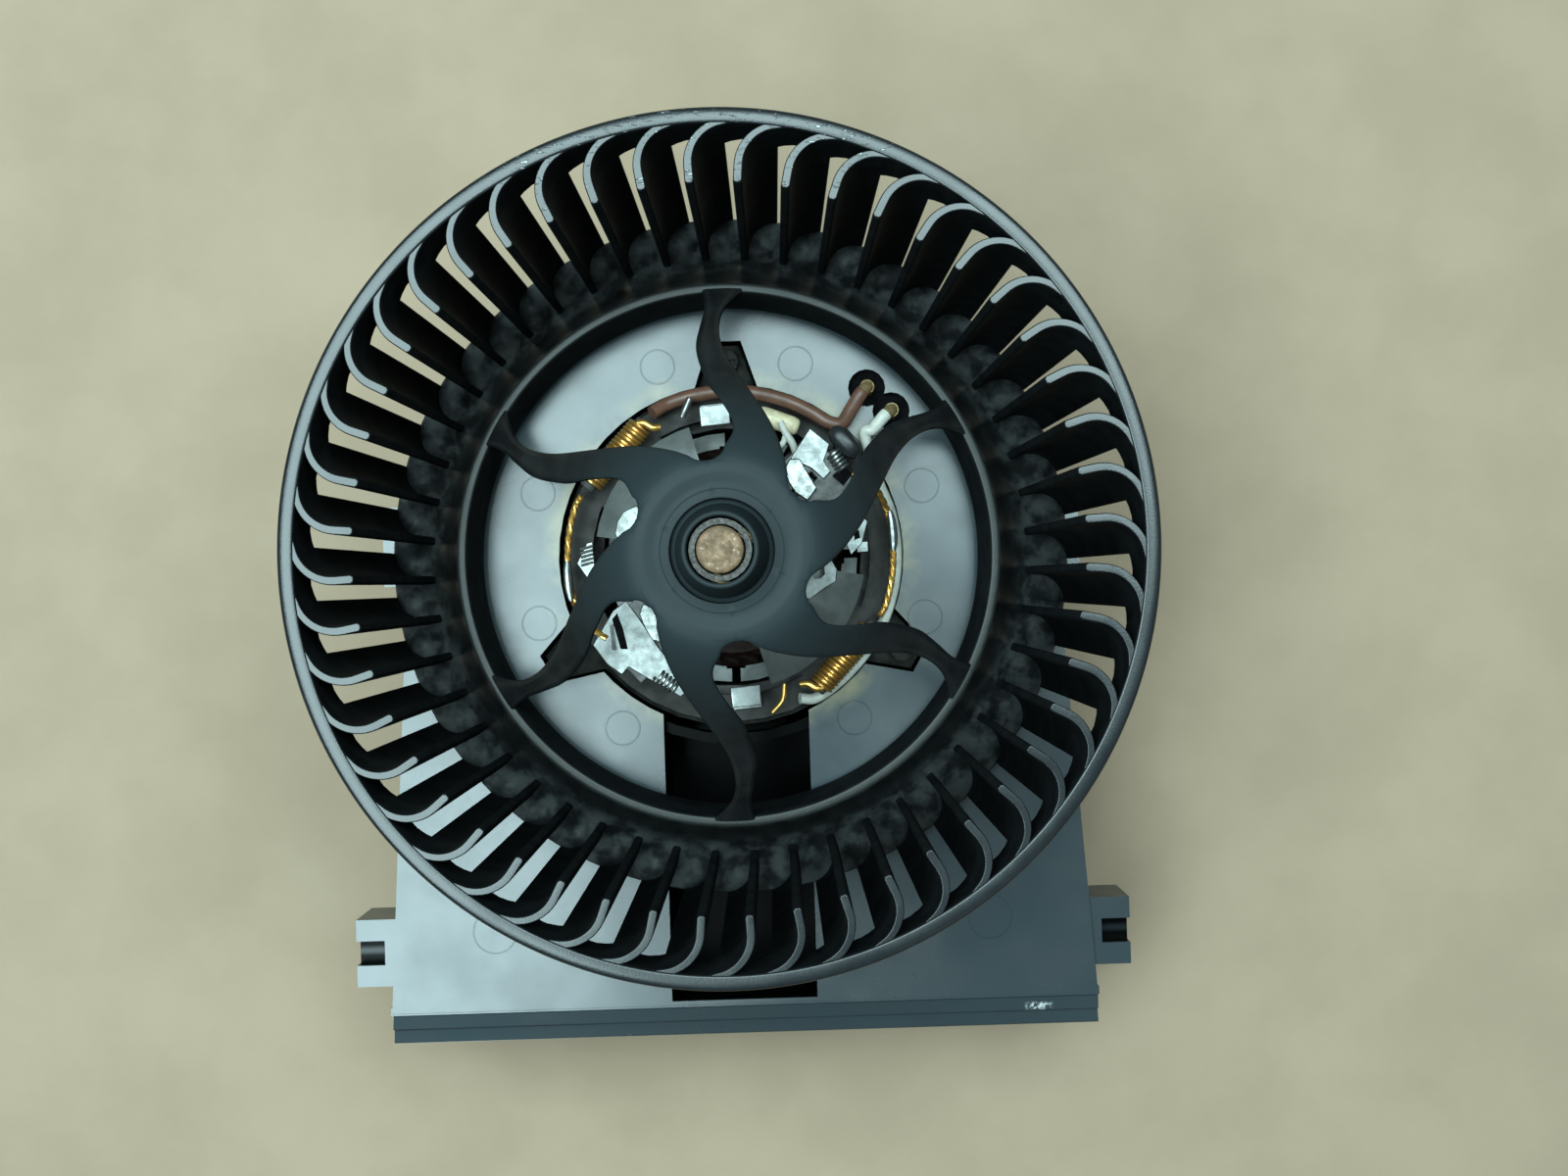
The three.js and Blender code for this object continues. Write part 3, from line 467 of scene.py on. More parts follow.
def painted_recess_shade(paint, x, y, z, radius):
    """Mask of painted shade in the wire holes, the mounting pockets, the channel and the lug grooves."""
    inboard = paint.between(radius, 47, 46)
    channel = paint.times(paint.between(paint.off(x, 0), 15.8, 15.2), paint.between(y, -89.6, -89))
    beyond = paint.between(paint.off(x, 0), LUG_GROOVE_X - 0.2, LUG_GROOVE_X)
    from_middle = paint.off(y, LUG_GROOVE_Y)
    across = paint.between(from_middle, LUG_GROOVE_HALF_WIDTH + 0.15, LUG_GROOVE_HALF_WIDTH - 0.05)
    paler_middle = paint.between(from_middle, 0, 1.2, 0.75, 1)
    deeper = paint.between(z, DECK_Z - 1.8, DECK_Z - 2.6)
    groove = paint.times(beyond, deeper, across, paler_middle)
    places = paint.maths("MAXIMUM", paint.maths("MAXIMUM", inboard, channel), groove)
    return paint.times(paint.between(z, DECK_Z - 0.3, DECK_Z - 1.2), places)


def base_plastic():
    """Dark grey gloss plastic, yellowed round the motor, scuffed on its front lip and painted near-black
    as shade in its recesses.
    """
    paint = plain("base_plastic", (0.022, 0.036, 0.042), 0.24, specular=0.75, blotch=0.15, size=18,
                  grain=0.004, grain_size=0.5)
    x, y, z = paint.axes()
    radius = paint.away(x, y)
    near_motor = paint.times(paint.between(radius, APERTURE_R + 4.5, APERTURE_R + 0.4),
                             paint.between(z, DECK_Z - 3, DECK_Z - 0.5))
    stain = paint.times(near_motor, paint.between(paint.noise(12, 3.0), 0.36, 0.7), 0.6)
    colour = paint.mix(stain, paint.colour(), (0.3, 0.26, 0.1))

    # Near-black painted shade in the recesses, with their gloss lowered too.
    recess_shade = painted_recess_shade(paint, x, y, z, radius)
    colour = paint.mix(recess_shade, colour, (0.0012, 0.0014, 0.0016))
    shine = paint.lessened(paint.between(paint.facing_up(), 0.1, 0.6, 0.2, 0.75), recess_shade, 0.95)
    paint.link(shine, "Specular IOR Level")

    # Pale scuffs near the right end of the stepped lip.
    patch = paint.times(paint.between(paint.off(x, SCUFF_PLACE[0]), 3.4, 1.2),
                        paint.between(paint.off(y, SCUFF_PLACE[1]), 1.0, 0.3))
    scuff = paint.times(patch, paint.between(paint.noise(0.9, 4.0), 0.44, 0.6))
    paint.link(paint.mix(scuff, colour, (0.5, 0.53, 0.52)), "Base Color")
    paint.bump(paint.noise(26, 2.0), 0.12)
    return paint.material


def shaft_steel():
    """Ground steel gone brown with rust, paler where the rust has been rubbed."""
    paint = plain("shaft_steel", (0.17, 0.108, 0.06), 0.62, metallic=0.25, blotch=0.35, size=1.4,
                  grain=0.03, grain_size=0.2)
    bare = paint.between(paint.noise(0.7, 5.0), 0.62, 0.7)
    paint.link(paint.mix(bare, paint.colour(), (0.4, 0.35, 0.26)), "Base Color")
    return paint.material


def copper():
    """Enamelled copper: orange-gold and glossy, with darker enamel in patches."""
    paint = plain("copper", (0.95, 0.49, 0.13), 0.34, metallic=0.9, blotch=0.3, size=2.2, grain=0.01)
    paint.shader.inputs["Coat Weight"].default_value = 0.4
    paint.shader.inputs["Coat Roughness"].default_value = 0.15
    return paint.material


# Colour, roughness and what else differs from an even non-metal.
PLAIN_FINISHES = {
    # The brush card is coloured near-black as painted shade over the motor's aperture.
    "card_plastic": ((0.022, 0.02, 0.018), 0.5, dict(specular=0.2, size=4, grain=0.03)),
    "bright_steel": ((0.21, 0.225, 0.22), 0.34, dict(
        metallic=0.85, blotch=0.3, size=2.4, grain=0.025, grain_size=0.9, stretch=(0.3, 1, 1))),
    "tinned": ((0.3, 0.32, 0.31), 0.34, dict(metallic=0.9, blotch=0.35, size=1.4)),
    "grey_steel": ((0.13, 0.14, 0.135), 0.46, dict(metallic=0.5, size=6, grain=0.012, grain_size=0.3)),
    "dull_steel": ((0.1, 0.1, 0.098), 0.5, dict(metallic=0.3, blotch=0.3, size=2.5, grain_size=0.3)),
    # Near-black with little gloss: painted shade of the mounting pockets, given to the mount ring and its
    # screws.
    "pocket_shade_steel": ((0.012, 0.013, 0.011), 0.6, dict(specular=0.06, blotch=0.4, size=2.5)),
    "worn_steel": ((0.035, 0.032, 0.028), 0.5, dict(
        metallic=0.3, blotch=0.5, size=0.7, grain=0.04, grain_size=0.3)),
    "enamelled": ((0.014, 0.008, 0.006), 0.45, dict(metallic=0.2, specular=0.1, blotch=0.3, size=1.5)),
    # Black plastic of the connector, also used as painted shade in the brush-box slots and the bracket
    # hole.
    "black_and_hole_shade": ((0.005, 0.005, 0.006), 0.7, dict(specular=0.03, size=2)),
    "brass": ((0.72, 0.52, 0.26), 0.32, dict(metallic=0.8, blotch=0.3, size=0.9)),
    "bronze": ((0.36, 0.25, 0.13), 0.5, dict(metallic=0.9, blotch=0.2, size=0.8)),
    "ferrite": ((0.05, 0.048, 0.046), 0.6, dict(size=1.5, grain=0.03)),
    "carbon": ((0.03, 0.03, 0.03), 0.5, dict(size=1.0)),
    "rubber": ((0.02, 0.02, 0.021), 0.7, dict(specular=0.1, size=2.0, grain=0.03)),
    "capacitor_coat": ((0.02, 0.023, 0.025), 0.34, dict(
        specular=0.4, size=2.0, grain=0.03, grain_size=1.5)),
    "brown_insulation": ((0.13, 0.062, 0.04), 0.4, dict(blotch=0.2, size=2.5)),
    "white_insulation": ((0.55, 0.56, 0.5), 0.42, dict(blotch=0.15, size=2)),
    "cream_ceramic": ((0.62, 0.55, 0.36), 0.4, dict(blotch=0.2, size=1.5)),
    "fibre": ((0.3, 0.2, 0.11), 0.8, dict(size=1.0)),
}
FINISHES = {
    "wheel_plastic": wheel_plastic(), "base_plastic": base_plastic(),
    "shaft_steel": shaft_steel(), "copper": copper(),
}
for finish_name, (finish_colour, finish_roughness, finish_settings) in PLAIN_FINISHES.items():
    finish_paint = plain(finish_name, finish_colour, finish_roughness, **finish_settings)
    FINISHES[finish_name] = finish_paint.material


# ---------------------------------------------------------------- wheel
# Sections of the wheel are points of (radius, depth below the rim).
def wheel_rim():
    """The rim band: flat on top, rounded over, with a step below its outer edge."""
    section = [
        (RIM_INNER_R, RIM_HEIGHT), (RIM_INNER_R, 0.5), (69.84, 0.25), (69.95, 0.1), (70.2, 0.02), (71, 0),
        (71.8, 0.04), (72.2, 0.2), (72.42, 0.5), (RIM_R, 1.1), (RIM_R, 4), (72.3, 4.5), (71.6, 4.9),
        (71.3, 5.4), (71.3, RIM_HEIGHT - 0.4), (70.9, RIM_HEIGHT),
    ]
    shape = lathe([(r, RIM_Z - depth) for r, depth in section], 288)
    piece("wheel_rim", shape, "wheel_plastic", "rotor", ["fan_wheel"], smooth=50)


def blade_loop(depth, thinner):
    """A blade's outline at a depth: radial, then a quarter circle that runs into the rim.

    Each station has its place out and across, its direction and half its thickness.
    """
    scale = lerp(1, BLADE_FOOT_SCALE, depth / BLADE_HEIGHT)
    inner = BLADE_INNER_R + thinner
    line = [(inner, 0, 0, 0.6 * BLADE_HALF_THICKNESS), (inner + 0.3, 0, 0, BLADE_HALF_THICKNESS)]
    bend = 84
    turns = [(turn, BLADE_HALF_THICKNESS * lerp(1, 0.8, turn / bend)) for turn in spread(0, bend, 13)]
    joined = depth < RIM_HEIGHT
    if not joined:
        turns += [(85.5, 0.5), (86.6, 0.33), (87, 0.1)]
    for turn, half in turns:
        angle = math.radians(turn)
        out = BLADE_BEND_R + BLADE_HOOK_R * math.sin(angle)
        line.append((out, BLADE_HOOK_R * (math.cos(angle) - 1), angle, half))
    line = [(out * scale, across * scale, angle, half) for out, across, angle, half in line]
    if joined:
        for around, half in ((5.8, 0.5), (7, 0.36), (8.2, 0.2)):
            out, across, _ = polar(RIM_INNER_R + 0.4, -around)
            line.append((out, across, math.radians(90 + around), half))
    left, right = [], []
    for out, across, angle, half in line:
        half = max(half - thinner, 0.02)
        side = Vector((math.sin(angle), math.cos(angle))) * half
        left.append((out + side.x, across + side.y, RIM_Z - depth))
        right.append((out - side.x, across - side.y, RIM_Z - depth))
    return left + right[::-1]


def wheel_blades():
    levels = [(BLADE_HEIGHT + 0.6, 0), (45, 0), (22, 0), (RIM_HEIGHT + 0.2, 0), (RIM_HEIGHT - 0.2, 0)]
    levels += [(0.7, 0), (0.42, 0.07), (0.3, 0.22)]
    blade = loft([blade_loop(depth, thinner) for depth, thinner in levels])
    blades = [turned(blade, BLADE_PHASE + 360 * i / BLADE_COUNT) for i in range(BLADE_COUNT)]
    piece("wheel_blades", together(*blades), "wheel_plastic", "rotor", ["fan_wheel"], smooth=40)


def wheel_dish():
    """The dish that carries the blades, hollowed between them, with the spoke ring's lip."""
    top = [
        (67, 68.1), (67, 67.3), (66.6, 66.8), (64.8, 65.9), (63, 65.1), (61.8, 64.5), (60.6, 63.9),
        (59.4, 63.35), (58.2, 62.7), (57.1, 61.9), (56, 60.8), (55, 59.3), (54.1, 57.5), (53.3, 55.7),
        (52.6, 54), (52.2, 53.3), (51.9, 53.06), (51.5, LIP_DEPTH), (50.7, LIP_DEPTH), (50.4, 53.08),
        (50.2, 53.4), (49.95, 56),
    ]
    under = [(49.1, 66.7), (49.5, 67), (50.3, 67), (50.7, 66.6), (51.3, 58.4), (53, 61.4),
             (56.4, 65.2), (60, 66.5), (66.5, 68.5)]
    vertices = []
    columns = BLADE_COUNT * 8
    for i in range(columns):
        share = math.sin(math.pi * i * BLADE_COUNT / columns) ** 2
        for r, depth in top + under:
            hollow = 1.5 * math.exp(-((r - 60.5) / 3.2) ** 2) * share
            vertices.append(polar(r, BLADE_PHASE + 360 * i / columns, RIM_Z - depth - hollow))
    faces = grid_faces(columns, len(top + under), wrap_rows=True, wrap_columns=True)
    piece("wheel_dish", (vertices, faces), "wheel_plastic", "rotor", ["fan_wheel"], smooth=50)


# Radius and the two edge angles of the first S-shaped spoke.
SPOKE_EDGES = [
    (17.3, 108.0, 148.2), (21.3, 120.6, 143.3), (26.8, 134.5, 149.4), (30.5, 141.3, 154.1),
    (34.6, 146.7, 156.1), (38.4, 149.4, 156.6), (42.5, 150.3, 155.2), (46.8, 149, 153.7),
    (50.9, 144.9, 154.1), (52.4, 143, 156),
]
# The windows between the spokes start at this radius and angle with a round nose.
WINDOW_START_R = 15.65
WINDOW_ANGLE = 97.5
WINDOW_NOSE_R = 4.0
# The web is flat at the hub, then falls as a cone, with a soft bend between.
HUB_DEPTH = 12.75
CONE_START_R = 17
CONE_SLOPE = 1.18
BEND_SOFTNESS = 5
WEB_THICKNESS = 3.4
WEB_EDGE = 0.8
EDGE_SAMPLES = 400


def spoke_edges(r):
    """The low and high edge angles of the first spoke at a radius; whole sixths near the hub."""
    if r <= WINDOW_START_R:
        return WINDOW_ANGLE, WINDOW_ANGLE + SPOKE_STEP
    if r <= SPOKE_EDGES[0][0]:
        centre = WINDOW_START_R + WINDOW_NOSE_R
        cosine = (r * r + centre * centre - WINDOW_NOSE_R ** 2) / (2 * r * centre)
        half = math.degrees(math.acos(min(1, cosine)))
        return WINDOW_ANGLE + half, WINDOW_ANGLE + SPOKE_STEP - half
    for i in range(len(SPOKE_EDGES) - 1):
        if r <= SPOKE_EDGES[i + 1][0] + 1e-6:
            break
    rows = [SPOKE_EDGES[max(i - 1, 0)], SPOKE_EDGES[i], SPOKE_EDGES[i + 1],
            SPOKE_EDGES[min(i + 2, len(SPOKE_EDGES) - 1)]]
    span = rows[2][0] - rows[1][0]
    t = (r - rows[1][0]) / span
    edges = []
    for side in (1, 2):
        before = (rows[2][side] - rows[0][side]) / max(rows[2][0] - rows[0][0], 1e-6) * span
        after = (rows[3][side] - rows[1][side]) / max(rows[3][0] - rows[1][0], 1e-6) * span
        a, b = rows[1][side], rows[2][side]
        edges.append(a * (1 + 2 * t) * (1 - t) ** 2 + before * t * (1 - t) ** 2
                     + b * t * t * (3 - 2 * t) + after * t * t * (t - 1))
    return tuple(edges)


def web_depth(r):
    """Depth of the web's top below the rim: nearly flat at the hub, then a cone to the lip."""
    past = r - CONE_START_R
    return HUB_DEPTH + CONE_SLOPE * (past + math.sqrt(past * past + BEND_SOFTNESS)) / 2


def edge_points():
    """Points all along the edges of the six spokes, to look up distances in."""
    edges = KDTree(2 * SPOKE_COUNT * EDGE_SAMPLES)
    for i, r in enumerate(spread(WINDOW_START_R + 1e-4, SPOKE_EDGES[-1][0], EDGE_SAMPLES)):
        for angle in spoke_edges(r):
            for k in range(SPOKE_COUNT):
                edges.insert(polar(r, angle + SPOKE_STEP * k), i)
    edges.balance()
    return edges


def station(r, share):
    """The angle at a share of the way across a spoke, the outer shares drawn to its edges."""
    start, end = spoke_edges(r)
    width = math.radians(end - start) * r
    near = min(1.0, WEB_EDGE / 0.25 / width)
    if share <= 0.25:
        share *= near
    elif share >= 0.75:
        share = 1 - (1 - share) * near
    else:
        share = lerp(0.25 * near, 1 - 0.25 * near, (share - 0.25) / 0.5)
    return lerp(start, end, share)


def wheel_web():
    """Hub and spokes in one skin: rows run up the bore, out along the top and back beneath."""
    boss = [
        (5.6, 34), (5.6, 3.75), (5.75, 3.35), (6.05, 3.2), (6.35, 3.32), (6.55, 3.8), (7.2, 7.5),
        (7.85, 11.6), (8, 13.4), (8.15, 14.5), (8.5, 14.7), (8.8, 14.55), (8.95, 13.7), (9.1, 13.25),
        (9.4, 13.2), (10.45, 13.42), (10.6, 13.32), (10.78, 13.45), (12, 13.57),
    ]
    tail = [(9.6, 17.3), (8.9, 17.9), (8.5, 34), (5.6, 34)]
    radii = [13.2, 14.2, 14.85, 15.25, 15.5, 15.65, 15.7, 15.8, 16, 16.3, 16.8, 17.3]
    radii += spread(18, SPOKE_EDGES[-1][0], 42)
    across = [0, 0.03, 0.11, 0.25, *spread(0.25, 0.75, 9)[1:-1], 0.75, 0.89, 0.97, 1]
    edges = edge_points()

    def eased(r, angle):
        """How far a rounded edge falls away at this point."""
        gap = edges.find(polar(r, angle))[2]
        inward = max(0, WEB_EDGE - gap)
        return WEB_EDGE - math.sqrt(WEB_EDGE ** 2 - min(inward, WEB_EDGE) ** 2)

    rows = [[polar(r, station(r, s), RIM_Z - depth) for s in across] for r, depth in boss]
    top_start = len(rows)
    for r in radii:
        angles = [station(r, s) for s in across]
        rows.append([polar(r, a, RIM_Z - web_depth(r) - eased(r, a)) for a in angles])
    for r in reversed(radii):
        angles = [station(r, s) for s in across]
        under = RIM_Z - web_depth(r) - WEB_THICKNESS
        rows.append([polar(r, a, under + 0.6 * eased(r, a)) for a in angles])
    rows += [[polar(r, station(r, s), RIM_Z - depth) for s in across] for r, depth in tail]

    columns = len(across)
    first = top_start + radii.index(WINDOW_START_R)
    last = top_start + 2 * len(radii) - 1 - radii.index(WINDOW_START_R)
    faces = grid_faces(len(rows), columns)
    for i in range((last - first) // 2):
        a, b = (first + i) * columns, (first + i + 1) * columns
        d, c = (last - i) * columns, (last - i - 1) * columns
        faces.append((a, b, c, d))
        faces.append(tuple(corner + columns - 1 for corner in (a, b, c, d)))
    spoke = ([point for row in rows for point in row], faces)
    spokes = [turned(spoke, SPOKE_STEP * k) for k in range(SPOKE_COUNT)]
    piece("wheel_web", together(*spokes), "wheel_plastic", "rotor", ["fan_wheel"], smooth=50)


def shaft():
    bottom, top = low("motor_shaft").z, high("motor_shaft").z
    section = [(0, bottom), (SHAFT_R - 0.5, bottom), (SHAFT_R, bottom + 0.5), (SHAFT_R, top - 0.7),
               (SHAFT_R - 0.12, top - 0.3), (SHAFT_R - 0.45, top - 0.06), (SHAFT_R - 0.9, top),
               (2.3, top - 0.02), (2.1, top - 0.09), (1.9, top - 0.02), (0, top)]
    piece("shaft", lathe(section, 96), "shaft_steel", "rotor", ["motor_shaft"])


# ---------------------------------------------------------------- motor
def can():
    """The drawn can of the motor, with its rear bearing seat."""
    bottom, top = low("motor_can").z, high("motor_can").z
    outer = high("motor_can").x
    section = [
        (0, bottom), (31, bottom), (32.4, bottom + 0.35), (33.1, bottom + 1.1), (outer, bottom + 2.2),
        (outer, top - 0.3), (outer - 0.3, top), (outer - 1.3, top), (outer - 1.6, top - 0.3),
        (outer - 1.6, bottom + 2.6), (outer - 2.4, bottom + 1.7), (10.4, bottom + 1.6), (10.4, 12.2),
        (10.1, 12.4), (8.9, 12.4), (8.9, bottom + 1.6), (0, bottom + 1.6),
    ]
    piece("can", lathe(section), "grey_steel", "base", ["motor_can"])


def commutator():
    """Copper bars with a slot after each, and a collar of hooks at the foot."""
    foot, head = low("commutator").z, high("commutator").z
    hook = foot + 1.8
    columns = COMMUTATOR_BARS * 8
    section = [(4.3, foot), (11.5, foot), (11.5, hook), (9.5, hook + 0.1), (9.5, head - 0.3),
               (9.2, head), (4.3, head)]
    vertices = []
    for i in range(columns):
        in_slot = i * COMMUTATOR_BARS % columns == 0
        for r, z in section:
            depth = 0.5 if in_slot and r > 9 else 0
            vertices.append(polar(r - depth, 360 * i / columns, z))
    faces = grid_faces(columns, len(section), wrap_rows=True, wrap_columns=True)
    piece("commutator_bars", (vertices, faces), "enamelled", "rotor", ["commutator"])


def winding():
    """Coil ends: bundles of wire that cross from slot to slot, above and below the core."""
    shapes = []
    for bottom, top in ((15.6, 19.6), (36.9, 40.7)):
        for i in range(COIL_CROSSINGS):
            start = 360 * i / COIL_CROSSINGS
            z = (bottom + top) / 2 + 0.5 * math.sin(start * 1.7)
            path = []
            for t in spread(0, 1, 9):
                path.append(polar(lerp(10.5, 21.6, t), start + 62 * t, z + 0.9 * math.sin(math.pi * t)))
            shapes.append(tube(path, 0.75, 8))
    section = [(8.6, 15.4), (19.6, 15.4), (22.6, 19.7), (7.6, 19.7)]
    both_ends = low("armature_winding").z + high("armature_winding").z
    shapes.append(lathe(section))
    shapes.append(lathe([(r, both_ends - z) for r, z in section]))
    piece("winding", together(*shapes), "enamelled", "rotor", ["armature_winding"])


def chokes():
    """Each choke is a close coil of thick wire on a ferrite rod, with its end bent out."""
    for index, turn in HALF_TURNS.items():
        z = (low(f"choke_coil_{index}").z + high(f"choke_coil_{index}").z) / 2
        half = CHOKE_LENGTH / 2
        centre = CHOKE_ANGLE + turn
        ends = [(CHOKE_R, end * (half - 0.4), z) for end in (1, -1)]
        coil = helix(*ends, CHOKE_COIL_R, CHOKE_TURNS, 16)
        hook = [(CHOKE_R + 0.6, 0.3 - half, z + 1.7), (CHOKE_R - 0.4, -0.5 - half, z + 2),
                (CHOKE_R - 2.2, -0.9 - half, z + 1.9), (CHOKE_R - 3.2, -1.9 - half, z + 1.5)]
        wire = together(tube(coil, 0.4, 8), tube(curve(hook), 0.75, 12))
        piece(f"choke_winding_{index}", turned(wire, centre), "copper", "base", [f"choke_coil_{index}"])
        rod = tube([(CHOKE_R, y, z) for y in (-half - 0.8, -half - 0.6, half + 0.6, half + 0.8)],
                   [1.3, 1.6, 1.6, 1.3], 24)
        piece(f"choke_rod_{index}", turned(rod, centre), "ferrite", "base", [f"choke_core_{index}"])


def pigtails():
    """Bare stranded copper from each choke to its brush box, three strands twisted."""
    end_z = HOLDER_TOP_Z + 1.2
    for index, turn in HALF_TURNS.items():
        z = (low(f"choke_coil_{index}").z + high(f"choke_coil_{index}").z) / 2
        centre = CHOKE_ANGLE + turn
        route = [polar(31.9, centre + 19.5, z)]
        route += [polar(32.3, angle, z) for angle in spread(centre + 24, centre + 58, 5)]
        route += [polar(31.4, centre + 66, end_z - 0.6), polar(29.2, centre + 75, end_z - 0.8)]
        line = curve(route, 10)
        strands = []
        for strand in range(3):
            offset = 2 * math.pi * strand / 3
            path = []
            for i, point in enumerate(line):
                ahead = (line[min(i + 1, len(line) - 1)] - line[max(i - 1, 0)]).normalized()
                across = ahead.cross(Vector((0, 0, 1))).normalized()
                over = across.cross(ahead)
                angle = offset + i * 0.55
                path.append(point + STRAND_R * (across * math.cos(angle) + over * math.sin(angle)))
            strands.append(tube(path, STRAND_R, 8))
        piece(f"stranded_pigtail_{index}", together(*strands), "copper", "base", [f"pigtail_{index}"])
        solder = [polar(32.3 + 0.5 * t, centre + 43 + 14 * t, z + 0.5) for t in spread(0, 1, 6)]
        piece(f"pigtail_solder_{index}", tube(solder, [0.5, 0.85, 0.9, 0.9, 0.8, 0.5], 10), "tinned")


# Outlines on top of each brush box, as (out, across) from the shaft along the brush.
BOX_PLATES = {
    1: [(21.8, 5.6), (23.4, 1.3), (23.7, -1.9), (25.6, -1.8), (26.1, 0.6), (29.3, 2.4), (28.6, 7.2)],
    2: [(21, -7.8), (24.1, -8.1), (31.6, -6), (32.2, -1.4), (31.6, 2), (29.6, 1.8), (28.3, 6.4),
        (26.8, 10.6), (26.1, 13.3), (24.8, 13.5), (23, 7.2), (22.6, 3.4), (21.3, -4.5)],
}
BRUSH_ARMS = {
    1: [(18.5, -2.8), (21.4, -2.3), (22.3, 1), (23, 4.4), (21.6, 5.6), (19.5, 4.9), (18.2, 2.4),
        (17.8, 0)],
    2: [(18.8, -5.1), (20.8, -4), (22, -1), (22.4, 1.6), (21.6, 3), (19.8, 1.2), (18.5, -1.6),
        (18.2, -3.4)],
}
BOX_SLOTS = {
    1: [(25.6, -5.4), (28.6, -5), (28, -2.6), (25.4, -2.6)],
    2: [(23.8, -7.2), (25.4, -7), (28.2, -1.6), (27.2, -0.6), (25.2, -4)],
}
BOX_RIB = [(25.8, -6.2), (26.6, -6.4), (29.6, -2.6), (28.9, -2)]
ARM_COILS = {1: ((28.6, 0.9), (27.8, -3.2)), 2: ((26.4, 7), (25.8, 11.4))}


def brush_boxes():
    """Folded boxes with a bright cover plate, a spring arm on the brush, the arm's coil and a thin black
    sheet of painted shade in each slot.
    """
    top = HOLDER_TOP_Z
    for index, turn in HALF_TURNS.items():
        angle = BRUSH_ANGLE + turn
        softened(f"brush_holder_{index}", "dull_steel", 0.25)
        plate = prism(BOX_PLATES[index], top + 0.05, top + 0.6, 0.18)
        piece(f"box_plate_{index}", turned(plate, angle), "bright_steel")
        arm = prism(BRUSH_ARMS[index], top + 0.7, top + 1.2, 0.25)
        piece(f"brush_arm_{index}", turned(arm, angle), "tinned")
        # A thin black sheet over the slot: painted shade.
        slot = prism(BOX_SLOTS[index], top + 0.4, top + 0.66, 0.05)
        piece(f"box_slot_shade_{index}", turned(slot, angle), "black_and_hole_shade")
        start, end = [(u, v, top + 0.1) for u, v in ARM_COILS[index]]
        coil = tube(helix(start, end, 1.25, 5, 14), 0.36, 8)
        piece(f"arm_coil_{index}", turned(coil, angle), "tinned")
    rib = prism(BOX_RIB, top + 0.5, top + 0.72, 0.08)
    piece("box_rib", turned(rib, BRUSH_ANGLE + HALF_TURNS[2]), "dull_steel")


def brushes():
    """The carbon brushes, and the open coil spring behind each, which shortens with the brush on the real
    motor; here it gets a mesh of its own.
    """
    for index, turn in HALF_TURNS.items():
        angle = BRUSH_ANGLE + turn
        softened(f"brush_{index}", "carbon", 0.3, f"brush_slider_{index}")
        z = (low(f"brush_spring_{index}").z + high(f"brush_spring_{index}").z) / 2
        spring = turned(tube(helix((22, 0, z), (26.5, 0, z), 1.9, 5), 0.25, 8), angle)
        spring = piece(f"box_spring_{index}", spring, "tinned", "base", [f"brush_spring_{index}"])
        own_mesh(spring)


def bridge_and_clamp():
    """The bearing bridge, and the clamp sheet on it with two unequal lobes."""
    softened("bearing_bridge", "grey_steel", 0.35)
    bottom, top = low("bearing_clamp").z, high("bearing_clamp").z
    collar = lathe([(10.7, bottom), (13.6, bottom), (13.6, top), (10.7, top)], 64)
    leaf = [(13, -2.6), (20.1, -3.4), (22, -1.6), (22.6, 0.6), (22.2, 3), (21.3, 4), (19.6, 1.6),
            (13, 2.2)]
    hook = [(13, -3), (17.3, -3.4), (19.4, -0.5), (21.2, 1.6), (20.7, 3.9), (19, 5.4), (18.2, 3.7),
            (18.9, 2.4), (18.3, 1.1), (16.9, 0.6), (15.6, 2.6), (13, 3)]
    lobes = [turned(prism(leaf, bottom, top, 0.15), 160), turned(prism(hook, bottom, top, 0.15), 340)]
    piece("clamp_sheet", together(collar, *lobes), "bright_steel", "base", ["bearing_clamp"])


def card_fittings():
    """Clips, a rod and a wire end on the card, and two brackets beside the bridge."""
    for index in HALF_TURNS:
        softened(f"card_clip_{index}", "bright_steel", 0.3)
    rod = tube([polar(32.2, 102.6, 53.4), polar(29.2, 107.4, 52.6)], [0.7, 0.7], 12)
    piece("card_rod", rod, "tinned")
    wire = curve([polar(32.2, 283, 53.4), polar(30.4, 288, 52.8), polar(27.6, 291, 52.2)])
    piece("card_wire", tube(wire, 0.55, 12), "copper")

    tag = [prism([(27.3, -3.6), (28.3, -3.4), (30.4, 0.6), (27.8, 4.4), (27, 2)], 52.6, 53.2, 0.12)]
    for v in spread(-2.8, 0.4, 5):
        tag.append(tube([(27.2, v, 53.3), (29.6, v + 0.6, 53.3)], 0.3, 8))
    piece("ribbed_tag", turned(together(*tag), 180), "bright_steel")
    bracket = prism([(23.8, -1.4), (26, 0.6), (27.4, 5), (25, 7.6), (22, 3.4)], 55.2, 55.8, 0.15)
    foot = prism([(25, -1), (27.2, -1), (27.2, 1), (25, 1)], CARD_TOP_Z + 0.3, 55.4, 0.12)
    piece("side_bracket", turned(together(bracket, foot), 2), "bright_steel")
    # A thin black sheet stands for the bracket's hole: painted shade.
    hole = prism([(24.6, 1.4), (25.8, 1.8), (25.6, 3.4), (24.6, 3)], 55.7, 55.84, 0.05)
    piece("bracket_hole_shade", turned(hole, 2), "black_and_hole_shade")


